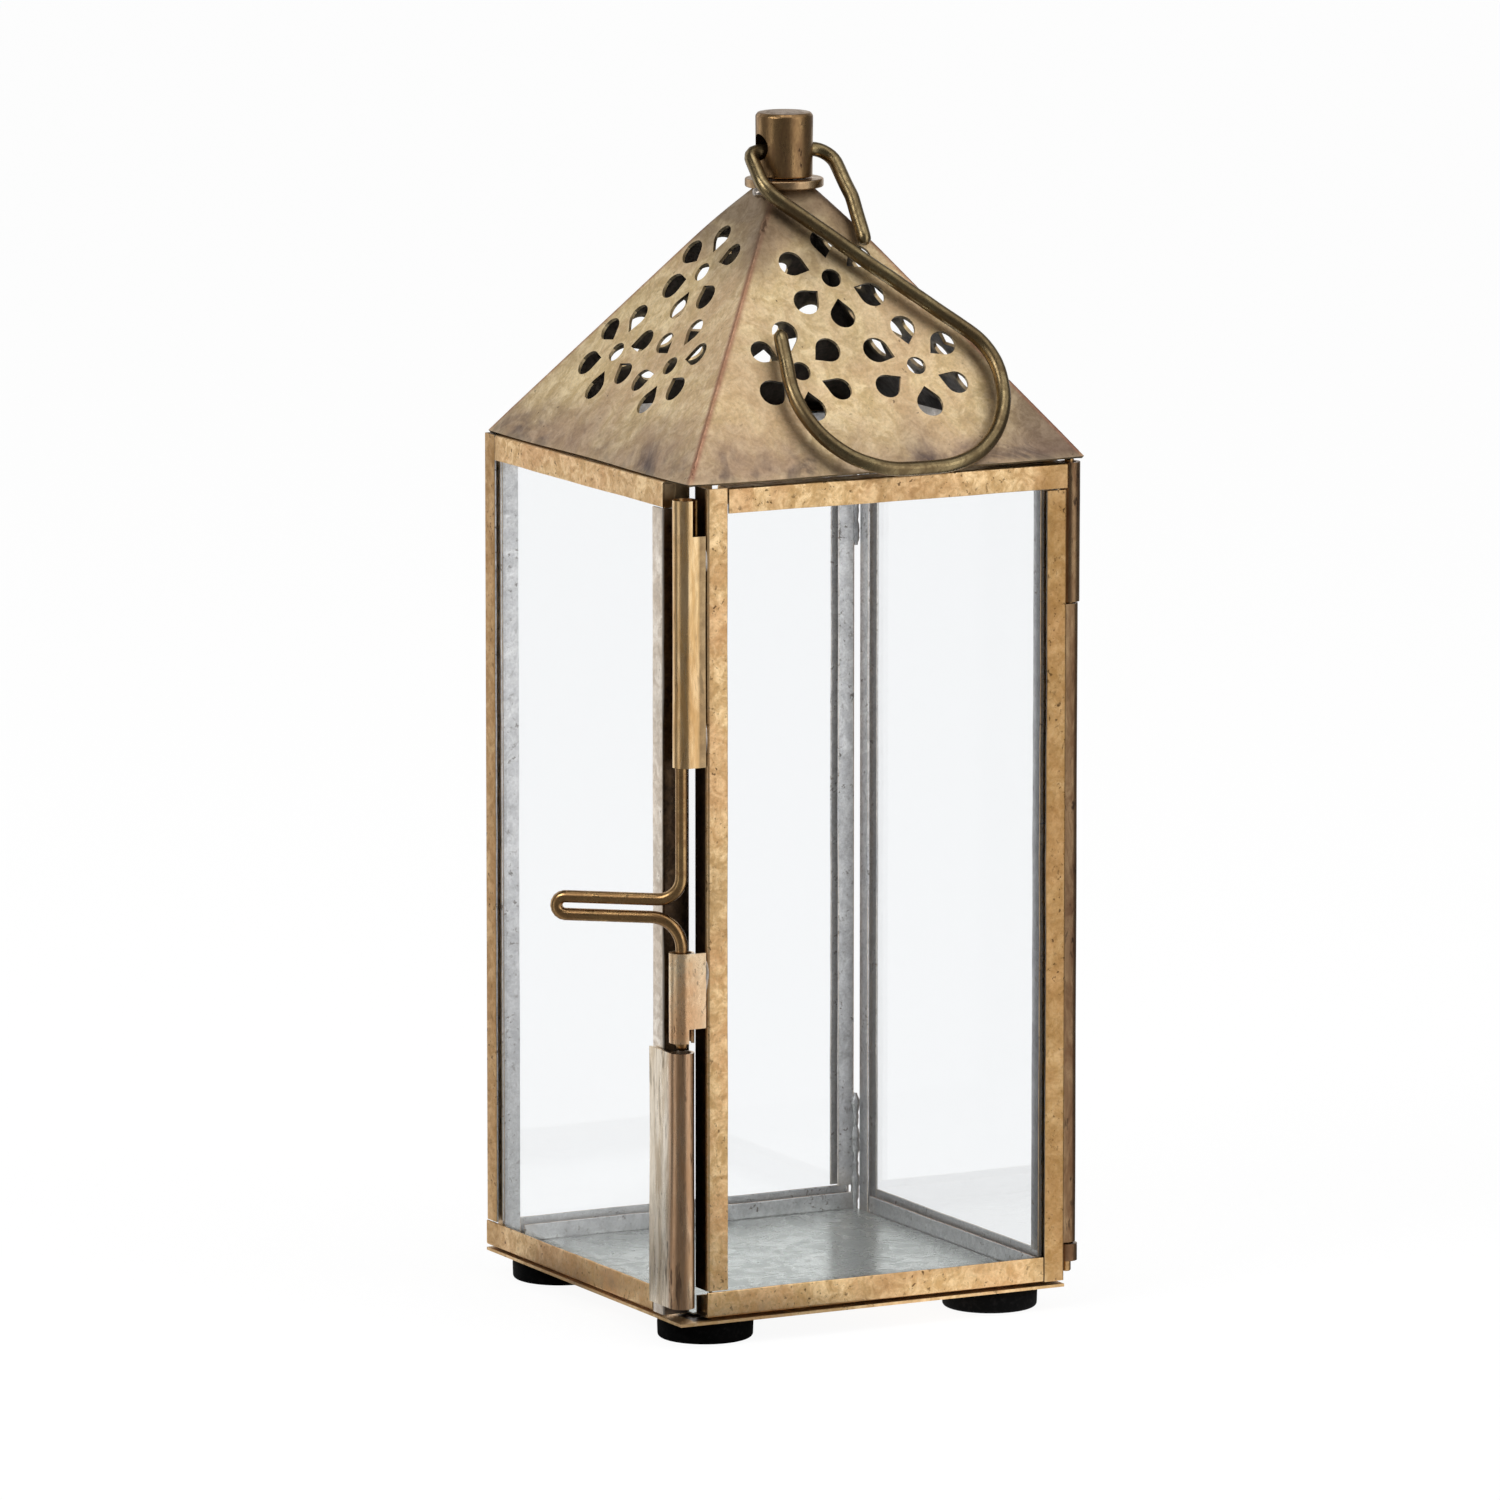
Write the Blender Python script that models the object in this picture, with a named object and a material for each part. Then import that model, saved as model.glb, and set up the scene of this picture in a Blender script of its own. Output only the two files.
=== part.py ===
"""Small brass and glass candle lantern with a hinged door, a slide bolt and a wire hook.

The origin is the centre of the base plate's underside, +Z is up, and the door is the
-Y side, hinged at its +X edge. Blender units are metres.
"""

import math

import bmesh
import bpy
from mathutils import Matrix, Vector

MM = 0.001
GAP = 0.3 * MM

# Body
BODY = 90.0 * MM
HALF = BODY / 2
PLATE_THICK = 1.0 * MM
FLOOR_THICK = 0.6 * MM
FOOT_HEIGHT = 4.7 * MM
FOOT_RADIUS = 10.0 * MM
FOOT_INSET = 11.5 * MM

# Glazed panels, each framed by four folded channels; those round the door are deeper
DOOR_DEPTH = 5.2 * MM
SIDE_DEPTH = 3.1 * MM
SHEET = 0.5 * MM
FACE_STRIP = 4.7 * MM
RAIL_STRIP = 5.3 * MM
BACK_FLANGE = 4.0 * MM
GLASS_THICK = 1.5 * MM
GLASS_SETBACK = 0.8 * MM
GLASS_EDGE = 1.4 * MM
PANEL_BOTTOM = PLATE_THICK + GAP
PANEL_TOP = 174.9 * MM
DOOR_BOTTOM = 1.5 * MM
DOOR_TOP = 173.9 * MM
DOOR_LATCH_EDGE = -38.8 * MM
LEFT_FRONT_EDGE = -37.0 * MM
CORNER_SLIT = 0.65 * MM

# Roof: a square pyramid cut off under the stud, a little off centre over the hinge
ROOF_CENTRE = Vector((1.9 * MM, -1.0 * MM, 0.0))
ROOF_HALF = 46.1 * MM
EAVE_Z = 175.5 * MM
APEX_RISE = 61.0 * MM
ROOF_TOP_Z = 228.9 * MM
ROOF_SHEET = 0.8 * MM
FLOWER_CENTRES = ((0.0, 45.6 * MM), (-12.5 * MM, 24.0 * MM), (12.5 * MM, 24.0 * MM))
FLOWER_EYE = 2.15 * MM
PETAL_COUNT = 6
PETAL_ROUND = 2.45 * MM
PETAL_RING = 9.2 * MM
PETAL_TIP = 5.3 * MM
CUT_DEPTH = 3.0 * MM
TAB_LENGTH = 30.0 * MM
TAB_RISE = 4.0 * MM
TAB_FOOT = 2.6 * MM

# Stud, washer and nut at the top of the roof
STUD_RADIUS = 6.0 * MM
STUD_TAIL = 2.0 * MM
STUD_BASE_Z = 231.3 * MM
STUD_TOP_Z = 244.8 * MM
WASHER_RADIUS = 8.2 * MM
WASHER_THICK = 1.8 * MM
HOLE_RADIUS = 2.8 * MM
HOLE_Z = 237.6 * MM
TAIL_HOLE = 2.4 * MM
TAIL_SPARE = 1.2 * MM
NUT_RADIUS = 4.0 * MM
NUT_THICK = 2.6 * MM

# Wire hook: corners as (across the stud, down the slope, clear of it, bend radius)
HOOK_WIRE = 1.5 * MM
HOOK_AXIS_Z = HOLE_Z - HOLE_RADIUS + HOOK_WIRE + GAP
HOOK_SLOPE = math.radians(52.0)
HOOK_CORNERS = (
    (-16.0, 44.0, 1.9, 0.0),
    (-20.2, 78.3, 1.9, 20.0),
    (30.5, 78.3, 1.9, 21.2),
    (31.0, 51.1, 1.9, 13.0),
    (-8.8, 10.3, 1.9, 7.0),
    (-8.2, 0.0, 0.0, 2.2),
    (10.4, 0.0, 0.0, 4.6),
    (10.9, 13.0, 1.9, 8.0),
    (10.3, 24.6, 1.9, 0.0),
)

# Latch: two sleeves on the door, a socket on the frame, and the bolt in them
LATCH_AXIS = Vector((-43.4 * MM, -42.2 * MM, 0.0))
TUBE_OUTER = 2.65 * MM
TUBE_WALL = 0.8 * MM
UPPER_SLEEVE_Z = (116.5 * MM, 171.7 * MM)
LOWER_SLEEVE_Z = (59.3 * MM, 78.0 * MM)
SOCKET_Z = (3.7 * MM, 57.2 * MM)
SOCKET_LEAF = 9.6 * MM
BOLT_WIRE = 1.3 * MM
BOLT_TIP_Z = 57.6 * MM
BOLT_TOP_Z = 134.0 * MM
BOLT_ARM_Z = (85.2 * MM, 88.9 * MM)
BOLT_BENDS = (6.3 * MM, 4.9 * MM)
BOLT_REACH = 26.2 * MM
HAIRPIN = 0.999 * (BOLT_ARM_Z[1] - BOLT_ARM_Z[0]) / 2
BOLT_HEADING = math.radians(141.3)

# Door hinge
HINGE_AXIS = Vector((47.5 * MM, -41.2 * MM, 0.0))
HINGE_PIN = 1.0 * MM
HINGE_BORE = 1.3 * MM
BARREL_OUTER = 1.9 * MM
KNUCKLE_OUTER = 2.3 * MM
KNUCKLE_LEAF = 8.2 * MM
HINGE_EYE_Z = (5.0 * MM, 8.6 * MM)
BARREL_Z = (9.0 * MM, 144.0 * MM)
KNUCKLE_Z = (144.4 * MM, 173.6 * MM)
PIN_Z = (2.6 * MM, 174.3 * MM)

ROUND_STEPS = 24
SMALL_ROUND_STEPS = 12
PETAL_STEPS = 7
ARC_STEP = math.radians(16.0)
ROLL_WRAP = math.radians(302.4)

# name: (base colour, roughness, metallic, alpha)
FINISHES = {
    "aged_brass": ((0.56, 0.38, 0.19, 1.0), 0.42, 1.0),
    "roof_brass": ((0.50, 0.40, 0.26, 1.0), 0.48, 1.0),
    "wire_brass": ((0.36, 0.30, 0.17, 1.0), 0.32, 1.0),
    "floor_grey": ((0.58, 0.62, 0.59, 1.0), 0.25, 0.0),
    "clear_glass": ((0.90, 0.94, 0.95, 0.2), 0.03, 0.0),
    "black_rubber": ((0.02, 0.02, 0.02, 1.0), 0.7, 0.0),
}


def clear_scene():
    """Remove every object from the scene."""
    for old in list(bpy.data.objects):
        bpy.data.objects.remove(old, do_unlink=True)


def finish(node, look):
    """Return a new material for one node, in one of the finishes."""
    colour, roughness, metallic = FINISHES[look]
    made = bpy.data.materials.new(f"{node}_{look}")
    made.use_nodes = True
    shader = made.node_tree.nodes["Principled BSDF"]
    shader.inputs["Base Color"].default_value = colour
    shader.inputs["Roughness"].default_value = roughness
    shader.inputs["Metallic"].default_value = metallic
    shader.inputs["Alpha"].default_value = colour[3]
    return made


def pivot(name, at, parent=None):
    """Add an empty on a joint's axis, at a place in the world."""
    empty = bpy.data.objects.new(name, None)
    empty.empty_display_size = 10 * MM
    bpy.context.collection.objects.link(empty)
    empty.parent = parent
    empty.location = at - parent.location if parent else at
    return empty


def place(node, data, look, holder=None, smooth=False):
    """Link a mesh or curve made in world coordinates, on its holder's origin if it has one."""
    made = bpy.data.objects.new(node, data)
    bpy.context.collection.objects.link(made)
    data.materials.append(finish(node, look))
    if holder:
        offset = holder.location.copy()
        if holder.parent:
            offset += holder.parent.location
        data.transform(Matrix.Translation(-offset))
        made.parent = holder
    if smooth:
        data.shade_smooth()
        data.set_sharp_from_angle(angle=math.radians(35))
    return made


def as_mesh(name, bm):
    """Turn a bmesh into a closed mesh whose faces point out."""
    bmesh.ops.remove_doubles(bm, verts=bm.verts, dist=0.001 * MM)
    bmesh.ops.recalc_face_normals(bm, faces=bm.faces)
    mesh = bpy.data.meshes.new(name)
    bm.to_mesh(mesh)
    bm.free()
    return mesh


def add_prism(bm, outline, along):
    """Add the solid that a flat outline of points sweeps along a vector."""
    face = bm.faces.new([bm.verts.new(point) for point in outline])
    swept = bmesh.ops.extrude_face_region(bm, geom=[face])
    moved = [part for part in swept["geom"] if isinstance(part, bmesh.types.BMVert)]
    bmesh.ops.translate(bm, vec=along, verts=moved)


def prism(name, outline, along):
    """Return the mesh of one prism."""
    bm = bmesh.new()
    add_prism(bm, outline, along)
    return as_mesh(name, bm)


def box(name, low, high):
    """Return the mesh of a box between two corners."""
    outline = [
        (low[0], low[1], low[2]),
        (high[0], low[1], low[2]),
        (high[0], high[1], low[2]),
        (low[0], high[1], low[2]),
    ]
    return prism(name, outline, (0, 0, high[2] - low[2]))


def turned(name, profile, centre, steps=ROUND_STEPS):
    """Return a solid turned about a vertical axis from (radius, height) points."""
    bm = bmesh.new()
    verts = [bm.verts.new((centre[0] + r, centre[1], z)) for r, z in profile]
    edges = [bm.edges.new(pair) for pair in zip(verts, verts[1:])]
    bmesh.ops.spin(
        bm,
        geom=verts + edges,
        cent=(centre[0], centre[1], 0),
        axis=(0, 0, 1),
        angle=math.tau,
        steps=steps,
        use_merge=True,
    )
    return as_mesh(name, bm)


def cut(target, cutter_mesh, name):
    """Subtract a hidden cutter from an object with an exact Boolean."""
    cutter = bpy.data.objects.new(name, cutter_mesh)
    bpy.context.collection.objects.link(cutter)
    cutter.hide_render = True
    cutter.display_type = "WIRE"
    cutter.parent = target.parent
    boolean = target.modifiers.new(name, "BOOLEAN")
    boolean.operation = "DIFFERENCE"
    boolean.solver = "EXACT"
    boolean.object = cutter


def arc(centre, radius, start, sweep):
    """Return the points of an arc in a plane, both ends included."""
    steps = max(2, math.ceil(abs(sweep) / ARC_STEP))
    turns = [start + sweep * i / steps for i in range(steps + 1)]
    return [(centre[0] + radius * math.cos(t), centre[1] + radius * math.sin(t)) for t in turns]


def rounded_path(corners):
    """Return points along straight runs whose corners, (point, radius), are rounded."""
    points = [corners[0][0]]
    for (before, _), (corner, radius), (after, _) in zip(corners, corners[1:], corners[2:]):
        back = (before - corner).normalized()
        on = (after - corner).normalized()
        half_angle = back.angle(on) / 2
        bisector = (back + on).normalized()
        centre = corner + bisector * (radius / math.sin(half_angle))
        start = corner + back * (radius / math.tan(half_angle)) - centre
        normal = on.cross(back)
        sweep = math.pi - 2 * half_angle
        steps = max(2, math.ceil(sweep / ARC_STEP))
        for i in range(steps + 1):
            points.append(centre + Matrix.Rotation(sweep * i / steps, 3, normal) @ start)
    points.append(corners[-1][0])
    return points


def wire(name, points, radius):
    """Return a round wire along points, as a curve with a bevel and filled ends."""
    curve = bpy.data.curves.new(name, "CURVE")
    curve.dimensions = "3D"
    curve.bevel_depth = radius
    curve.bevel_resolution = 2
    curve.use_fill_caps = True
    spline = curve.splines.new("POLY")
    spline.points.add(len(points) - 1)
    for knot, point in zip(spline.points, points):
        knot.co = (*point, 1.0)
    return curve


def channel(name, start, along, inward, outward, strip, depth):
    """Return a U-shaped channel folded from sheet, open towards the glass.

    start is a point on the panel's outer edge line, along runs down that line, inward
    points to the glass and outward out of the lantern.
    """
    section = [
        (0, 0),
        (strip, 0),
        (strip, SHEET),
        (SHEET, SHEET),
        (SHEET, depth - SHEET),
        (BACK_FLANGE, depth - SHEET),
        (BACK_FLANGE, depth),
        (0, depth),
    ]
    outline = [start + inward * i - outward * d for i, d in section]
    return prism(name, outline, along)


def glazed_panel(side, names, left, right, bottom, top, outward, depths, holder=None):
    """Place one panel: four lapped channels round a pane of glass.

    left and right are the ends of its face as seen from outside, at height 0. Each
    channel laps over the end of the next one, pinwheel fashion. depths are those of the
    left stile, the right stile and the two rails.
    """
    left_depth, right_depth, rail_depth = depths
    across = (right - left).normalized()
    width = (right - left).length
    height = top - bottom
    up = Vector((0, 0, 1))
    left_stile, right_stile, top_rail, bottom_rail, glass = (f"{side}_{n}" for n in names)

    def at(x, z):
        return left + across * x + up * (bottom + z)

    stile_run = height - RAIL_STRIP - GAP
    rail_run = width - FACE_STRIP - GAP
    runs = (
        (left_stile, at(0, RAIL_STRIP + GAP), up * stile_run, across, FACE_STRIP, left_depth),
        (right_stile, at(width, 0), up * stile_run, -across, FACE_STRIP, right_depth),
        (top_rail, at(FACE_STRIP + GAP, height), across * rail_run, -up, RAIL_STRIP, rail_depth),
        (bottom_rail, at(0, 0), across * rail_run, up, RAIL_STRIP, rail_depth),
    )
    for node, start, along, inward, strip, depth in runs:
        mesh = channel(node, start, along, inward, outward, strip, depth)
        place(node, mesh, "aged_brass", holder)

    inset = at(GLASS_EDGE, GLASS_EDGE) - outward * GLASS_SETBACK
    outline = [
        inset,
        inset + across * (width - 2 * GLASS_EDGE),
        inset + across * (width - 2 * GLASS_EDGE) - outward * GLASS_THICK,
        inset - outward * GLASS_THICK,
    ]
    pane = prism(glass, outline, up * (height - 2 * GLASS_EDGE))
    place(glass, pane, "clear_glass", holder)


def rolled_tube(name, axis, z_span, outer, bore, reach, heading, mirrored=False):
    """Return a tube rolled from one strip, whose tail leaves it as a flat leaf.

    The leaf runs reach from the axis along heading. It lies on the left of that
    direction, or on its right if mirrored.
    """
    start = math.pi / 2
    rolled = arc((0, 0), outer, start, ROLL_WRAP)
    rolled += arc((0, 0), bore, start + ROLL_WRAP, -ROLL_WRAP)
    section = [(reach, outer)] + rolled + [(reach, bore)]
    flip = -1 if mirrored else 1
    turn = Matrix.Rotation(heading, 3, "Z")
    outline = [axis + turn @ Vector((x, flip * y, 0)) for x, y in section]
    outline = [Vector((p.x, p.y, z_span[0])) for p in outline]
    return prism(name, outline, (0, 0, z_span[1] - z_span[0]))


def build_base():
    """Base plate, the sheet lying on it, and four feet."""
    plate = box("base_plate", (-HALF, -HALF, 0), (HALF, HALF, PLATE_THICK))
    place("base_plate", plate, "aged_brass")
    front = DOOR_DEPTH + GAP - HALF
    rear = HALF - SIDE_DEPTH - GAP
    low = PLATE_THICK + GAP
    sheet = box("floor_sheet", (front, front, low), (rear, rear, low + FLOOR_THICK))
    place("floor_sheet", sheet, "floor_grey")
    profile = [
        (0, -GAP),
        (FOOT_RADIUS - 0.6 * MM, -GAP),
        (FOOT_RADIUS, -1.1 * MM),
        (FOOT_RADIUS, -FOOT_HEIGHT + 1.0 * MM),
        (FOOT_RADIUS - 0.8 * MM, -FOOT_HEIGHT),
        (0, -FOOT_HEIGHT),
    ]
    offset = HALF - FOOT_INSET
    for end, y in (("front", -offset), ("rear", offset)):
        for hand, x in (("left", -offset), ("right", offset)):
            node = f"foot_{end}_{hand}"
            foot = turned(node, profile, (x, y))
            place(node, foot, "black_rubber", smooth=True)


def build_fixed_panels():
    """Left, back and right panels, with a slit left open between the last two."""
    span = (PANEL_BOTTOM, PANEL_TOP)
    shallow = (SIDE_DEPTH, SIDE_DEPTH, SIDE_DEPTH)
    corner = HALF - SIDE_DEPTH - CORNER_SLIT
    glazed_panel(
        "left",
        ("rear_stile", "front_stile", "top_rail", "bottom_rail", "glass"),
        Vector((-HALF, HALF, 0)),
        Vector((-HALF, LEFT_FRONT_EDGE, 0)),
        *span,
        Vector((-1, 0, 0)),
        (SIDE_DEPTH, DOOR_DEPTH, SIDE_DEPTH),
    )
    glazed_panel(
        "back",
        ("right_stile", "left_stile", "top_rail", "bottom_rail", "glass"),
        Vector((corner, HALF, 0)),
        Vector((SIDE_DEPTH + GAP - HALF, HALF, 0)),
        *span,
        Vector((0, 1, 0)),
        shallow,
    )
    glazed_panel(
        "right",
        ("front_stile", "rear_stile", "top_rail", "bottom_rail", "glass"),
        Vector((HALF, DOOR_DEPTH + GAP - HALF, 0)),
        Vector((HALF, corner, 0)),
        *span,
        Vector((1, 0, 0)),
        shallow,
    )


def build_door(door_pivot):
    """The glazed door and the long barrel that it turns on."""
    glazed_panel(
        "door",
        ("latch_stile", "hinge_stile", "top_rail", "bottom_rail", "glass"),
        Vector((DOOR_LATCH_EDGE, -HALF, 0)),
        Vector((HALF, -HALF, 0)),
        DOOR_BOTTOM,
        DOOR_TOP,
        Vector((0, -1, 0)),
        (DOOR_DEPTH, DOOR_DEPTH, DOOR_DEPTH),
        door_pivot,
    )
    reach = HINGE_AXIS.x - HALF - GAP
    barrel = rolled_tube(
        "door_hinge_barrel", HINGE_AXIS, BARREL_Z, BARREL_OUTER, HINGE_BORE, reach, math.pi
    )
    place("door_hinge_barrel", barrel, "aged_brass", door_pivot, smooth=True)


def build_hinge():
    """The frame's knuckle and eye, and the pin between them."""
    for node, z_span in (("frame_hinge_knuckle", KNUCKLE_Z), ("frame_hinge_eye", HINGE_EYE_Z)):
        knuckle = rolled_tube(
            node, HINGE_AXIS, z_span, KNUCKLE_OUTER, HINGE_BORE, KNUCKLE_LEAF, math.pi / 2
        )
        place(node, knuckle, "aged_brass", smooth=True)
    profile = [(0, PIN_Z[1]), (HINGE_PIN, PIN_Z[1]), (HINGE_PIN, PIN_Z[0]), (0, PIN_Z[0])]
    pin = turned("hinge_pin", profile, HINGE_AXIS, SMALL_ROUND_STEPS)
    place("hinge_pin", pin, "wire_brass", smooth=True)


def build_latch(door_pivot, bolt_pivot):
    """Sleeves on the door, the socket on the left panel, and the bent wire bolt."""
    bore = TUBE_OUTER - TUBE_WALL
    reach = DOOR_LATCH_EDGE - LATCH_AXIS.x - GAP
    sleeves = (("latch_upper_sleeve", UPPER_SLEEVE_Z), ("latch_lower_sleeve", LOWER_SLEEVE_Z))
    for node, z_span in sleeves:
        sleeve = rolled_tube(
            node, LATCH_AXIS, z_span, TUBE_OUTER, bore, reach, 0.0, mirrored=True
        )
        place(node, sleeve, "aged_brass", door_pivot, smooth=True)
    socket = rolled_tube(
        "latch_socket", LATCH_AXIS, SOCKET_Z, TUBE_OUTER, bore, SOCKET_LEAF, math.pi / 2
    )
    place("latch_socket", socket, "aged_brass", smooth=True)

    out = Vector((math.cos(BOLT_HEADING), math.sin(BOLT_HEADING), 0)) * BOLT_REACH
    low_arm, high_arm = (LATCH_AXIS + Vector((0, 0, z)) for z in BOLT_ARM_Z)
    path = rounded_path(
        (
            (LATCH_AXIS + Vector((0, 0, BOLT_TOP_Z)), 0),
            (high_arm, BOLT_BENDS[1]),
            (high_arm + out, HAIRPIN),
            (low_arm + out, HAIRPIN),
            (low_arm, BOLT_BENDS[0]),
            (LATCH_AXIS + Vector((0, 0, BOLT_TIP_Z)), 0),
        )
    )
    place("latch_bolt", wire("latch_bolt", path, BOLT_WIRE), "wire_brass", bolt_pivot)


def roof_half_at(z):
    """Half the width of the roof's outside at a height."""
    return ROOF_HALF * (1 - (z - EAVE_Z) / APEX_RISE)


def frustum(name, low_half, low_z, high_half, high_z):
    """Return the mesh of one closed square frustum round the roof's axis."""
    bm = bmesh.new()
    bmesh.ops.create_cone(
        bm,
        cap_ends=True,
        segments=4,
        radius1=low_half * math.sqrt(2),
        radius2=high_half * math.sqrt(2),
        depth=high_z - low_z,
    )
    bmesh.ops.transform(bm, matrix=Matrix.Rotation(math.pi / 4, 4, "Z"), verts=bm.verts)
    middle = ROOF_CENTRE + Vector((0, 0, (low_z + high_z) / 2))
    bmesh.ops.translate(bm, vec=middle, verts=bm.verts)
    return as_mesh(name, bm)


def petal(turn):
    """Outline of one petal hole round its flower's centre, its point towards the centre."""
    middle = (PETAL_RING, 0.0)
    spread = math.acos(PETAL_ROUND / (PETAL_RING - PETAL_TIP))
    start = -(math.pi - spread)
    sweep = 2 * (math.pi - spread)
    turns = [start + sweep * i / PETAL_STEPS for i in range(PETAL_STEPS + 1)]
    outline = [(PETAL_TIP, 0.0)]
    outline += [
        (middle[0] + PETAL_ROUND * math.cos(t), PETAL_ROUND * math.sin(t)) for t in turns
    ]
    c, s = math.cos(turn), math.sin(turn)
    return [(x * c - y * s, x * s + y * c) for x, y in outline]


def flower_cutters():
    """Mesh of the prisms that cut three flowers of holes in each side of the roof."""
    slope = math.atan2(APEX_RISE, ROOF_HALF)
    eye_turns = [math.tau * i / SMALL_ROUND_STEPS for i in range(SMALL_ROUND_STEPS)]
    eye = [(FLOWER_EYE * math.cos(t), FLOWER_EYE * math.sin(t)) for t in eye_turns]
    petals = [petal(math.tau * (i + 0.5) / PETAL_COUNT) for i in range(PETAL_COUNT)]
    bm = bmesh.new()
    for quarter in range(4):
        turn = Matrix.Rotation(quarter * math.pi / 2, 3, "Z")
        across = turn @ Vector((1, 0, 0))
        up_slope = turn @ Vector((0, math.cos(slope), math.sin(slope)))
        out = turn @ Vector((0, -math.sin(slope), math.cos(slope)))
        eave = ROOF_CENTRE + turn @ Vector((0, -ROOF_HALF, 0)) + Vector((0, 0, EAVE_Z))
        for x, u in FLOWER_CENTRES:
            centre = eave + across * x + up_slope * u + out * CUT_DEPTH / 2
            for hole in [eye] + petals:
                outline = [centre + across * a + up_slope * b for a, b in hole]
                add_prism(bm, outline, -out * CUT_DEPTH)
    return as_mesh("flower_cutters", bm)


def build_roof():
    """Perforated pyramid roof and the three soldered tabs that hold it on the panels."""
    slope = math.atan2(APEX_RISE, ROOF_HALF)
    inside = ROOF_SHEET / math.sin(slope)
    below = EAVE_Z - 1.0 * MM
    ceiling = ROOF_TOP_Z - ROOF_SHEET
    outer = frustum("roof_shell", ROOF_HALF, EAVE_Z, roof_half_at(ROOF_TOP_Z), ROOF_TOP_Z)
    roof = place("roof_shell", outer, "roof_brass")
    hollow = frustum(
        "roof_hollow",
        roof_half_at(below) - inside,
        below,
        roof_half_at(ceiling) - inside,
        ceiling,
    )
    cut(roof, hollow, "roof_hollow")
    tail_hole = [
        (0, ROOF_TOP_Z + MM),
        (TAIL_HOLE, ROOF_TOP_Z + MM),
        (TAIL_HOLE, ceiling - MM),
        (0, ceiling - MM),
    ]
    cut(roof, turned("tail_hole", tail_hole, ROOF_CENTRE), "tail_hole")
    cut(roof, flower_cutters(), "flower_cutters")

    lean = TAB_RISE * ROOF_HALF / APEX_RISE
    low = PANEL_TOP + GAP
    sides = (("right", 1, ROOF_CENTRE.x), ("back", 2, ROOF_CENTRE.y), ("left", 3, -ROOF_CENTRE.x))
    for side, quarter, offset in sides:
        face = min(HALF - 0.5 * MM, roof_half_at(low) + offset - inside - GAP)
        turn = Matrix.Rotation(quarter * math.pi / 2, 3, "Z")
        section = ((face - TAB_FOOT, 0), (face, 0), (face - lean, TAB_RISE))
        outline = [turn @ Vector((-TAB_LENGTH / 2, -n, low + z)) for n, z in section]
        tab = prism(f"roof_tab_{side}", outline, turn @ Vector((TAB_LENGTH, 0, 0)))
        place(f"roof_tab_{side}", tab, "roof_brass")


def build_stud():
    """Stud with its cross hole and tail, the washer under it, and the nut inside."""
    washer_low = ROOF_TOP_Z + GAP
    washer_high = washer_low + WASHER_THICK
    edge = 0.4 * MM
    washer = [
        (TAIL_HOLE, washer_high),
        (WASHER_RADIUS - edge, washer_high),
        (WASHER_RADIUS, washer_high - edge),
        (WASHER_RADIUS, washer_low + edge),
        (WASHER_RADIUS - edge, washer_low),
        (TAIL_HOLE, washer_low),
        (TAIL_HOLE, washer_high),
    ]
    place("stud_washer", turned("stud_washer", washer, ROOF_CENTRE), "aged_brass", smooth=True)

    nut_high = ROOF_TOP_Z - ROOF_SHEET - GAP
    nut_low = nut_high - NUT_THICK
    tail_end = nut_low - TAIL_SPARE
    crown = 1.1 * MM
    stud = [
        (0, STUD_TOP_Z),
        (STUD_RADIUS - crown, STUD_TOP_Z - 0.2 * MM),
        (STUD_RADIUS, STUD_TOP_Z - crown),
        (STUD_RADIUS, STUD_BASE_Z),
        (STUD_TAIL, STUD_BASE_Z),
        (STUD_TAIL, tail_end),
        (0, tail_end),
    ]
    post = place("hanging_stud", turned("hanging_stud", stud, ROOF_CENTRE), "aged_brass")
    reach = STUD_RADIUS + MM
    middle = ROOF_CENTRE + Vector((-reach, 0, HOLE_Z))
    ring = [
        middle + Vector((0, HOLE_RADIUS * math.cos(t), HOLE_RADIUS * math.sin(t)))
        for t in (math.tau * i / ROUND_STEPS for i in range(ROUND_STEPS))
    ]
    cut(post, prism("cross_hole", ring, (2 * reach, 0, 0)), "cross_hole")

    nut = [
        (TAIL_HOLE, nut_high),
        (NUT_RADIUS, nut_high),
        (NUT_RADIUS, nut_low),
        (TAIL_HOLE, nut_low),
        (TAIL_HOLE, nut_high),
    ]
    place("stud_nut", turned("stud_nut", nut, ROOF_CENTRE, 6), "aged_brass")


def build_hook(hook_pivot):
    """The wire hook, closed round the stud and lying towards the door's eave."""
    down = Vector((0, -math.cos(HOOK_SLOPE), -math.sin(HOOK_SLOPE)))
    across = Vector((1, 0, 0))
    centre = ROOF_CENTRE + Vector((0, 0, HOOK_AXIS_Z))
    clear = down.cross(across)
    corners = [
        (centre + (across * x + down * s + clear * n) * MM, bend * MM)
        for x, s, n, bend in HOOK_CORNERS
    ]
    hook = wire("hook_handle", rounded_path(corners), HOOK_WIRE)
    place("hook_handle", hook, "wire_brass", hook_pivot)


def main():
    """Build the lantern."""
    clear_scene()
    door_pivot = pivot("door_pivot", HINGE_AXIS + Vector((0, 0, DOOR_BOTTOM)))
    bolt_pivot = pivot("bolt_pivot", LATCH_AXIS + Vector((0, 0, BOLT_TIP_Z)), door_pivot)
    hook_pivot = pivot("hook_pivot", ROOF_CENTRE + Vector((0, 0, HOOK_AXIS_Z)))
    build_base()
    build_fixed_panels()
    build_door(door_pivot)
    build_hinge()
    build_latch(door_pivot, bolt_pivot)
    build_roof()
    build_stud()
    build_hook(hook_pivot)


main()
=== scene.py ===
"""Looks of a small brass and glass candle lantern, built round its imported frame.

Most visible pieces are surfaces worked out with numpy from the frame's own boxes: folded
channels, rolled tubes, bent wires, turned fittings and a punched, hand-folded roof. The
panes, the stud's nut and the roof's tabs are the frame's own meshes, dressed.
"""

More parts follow.
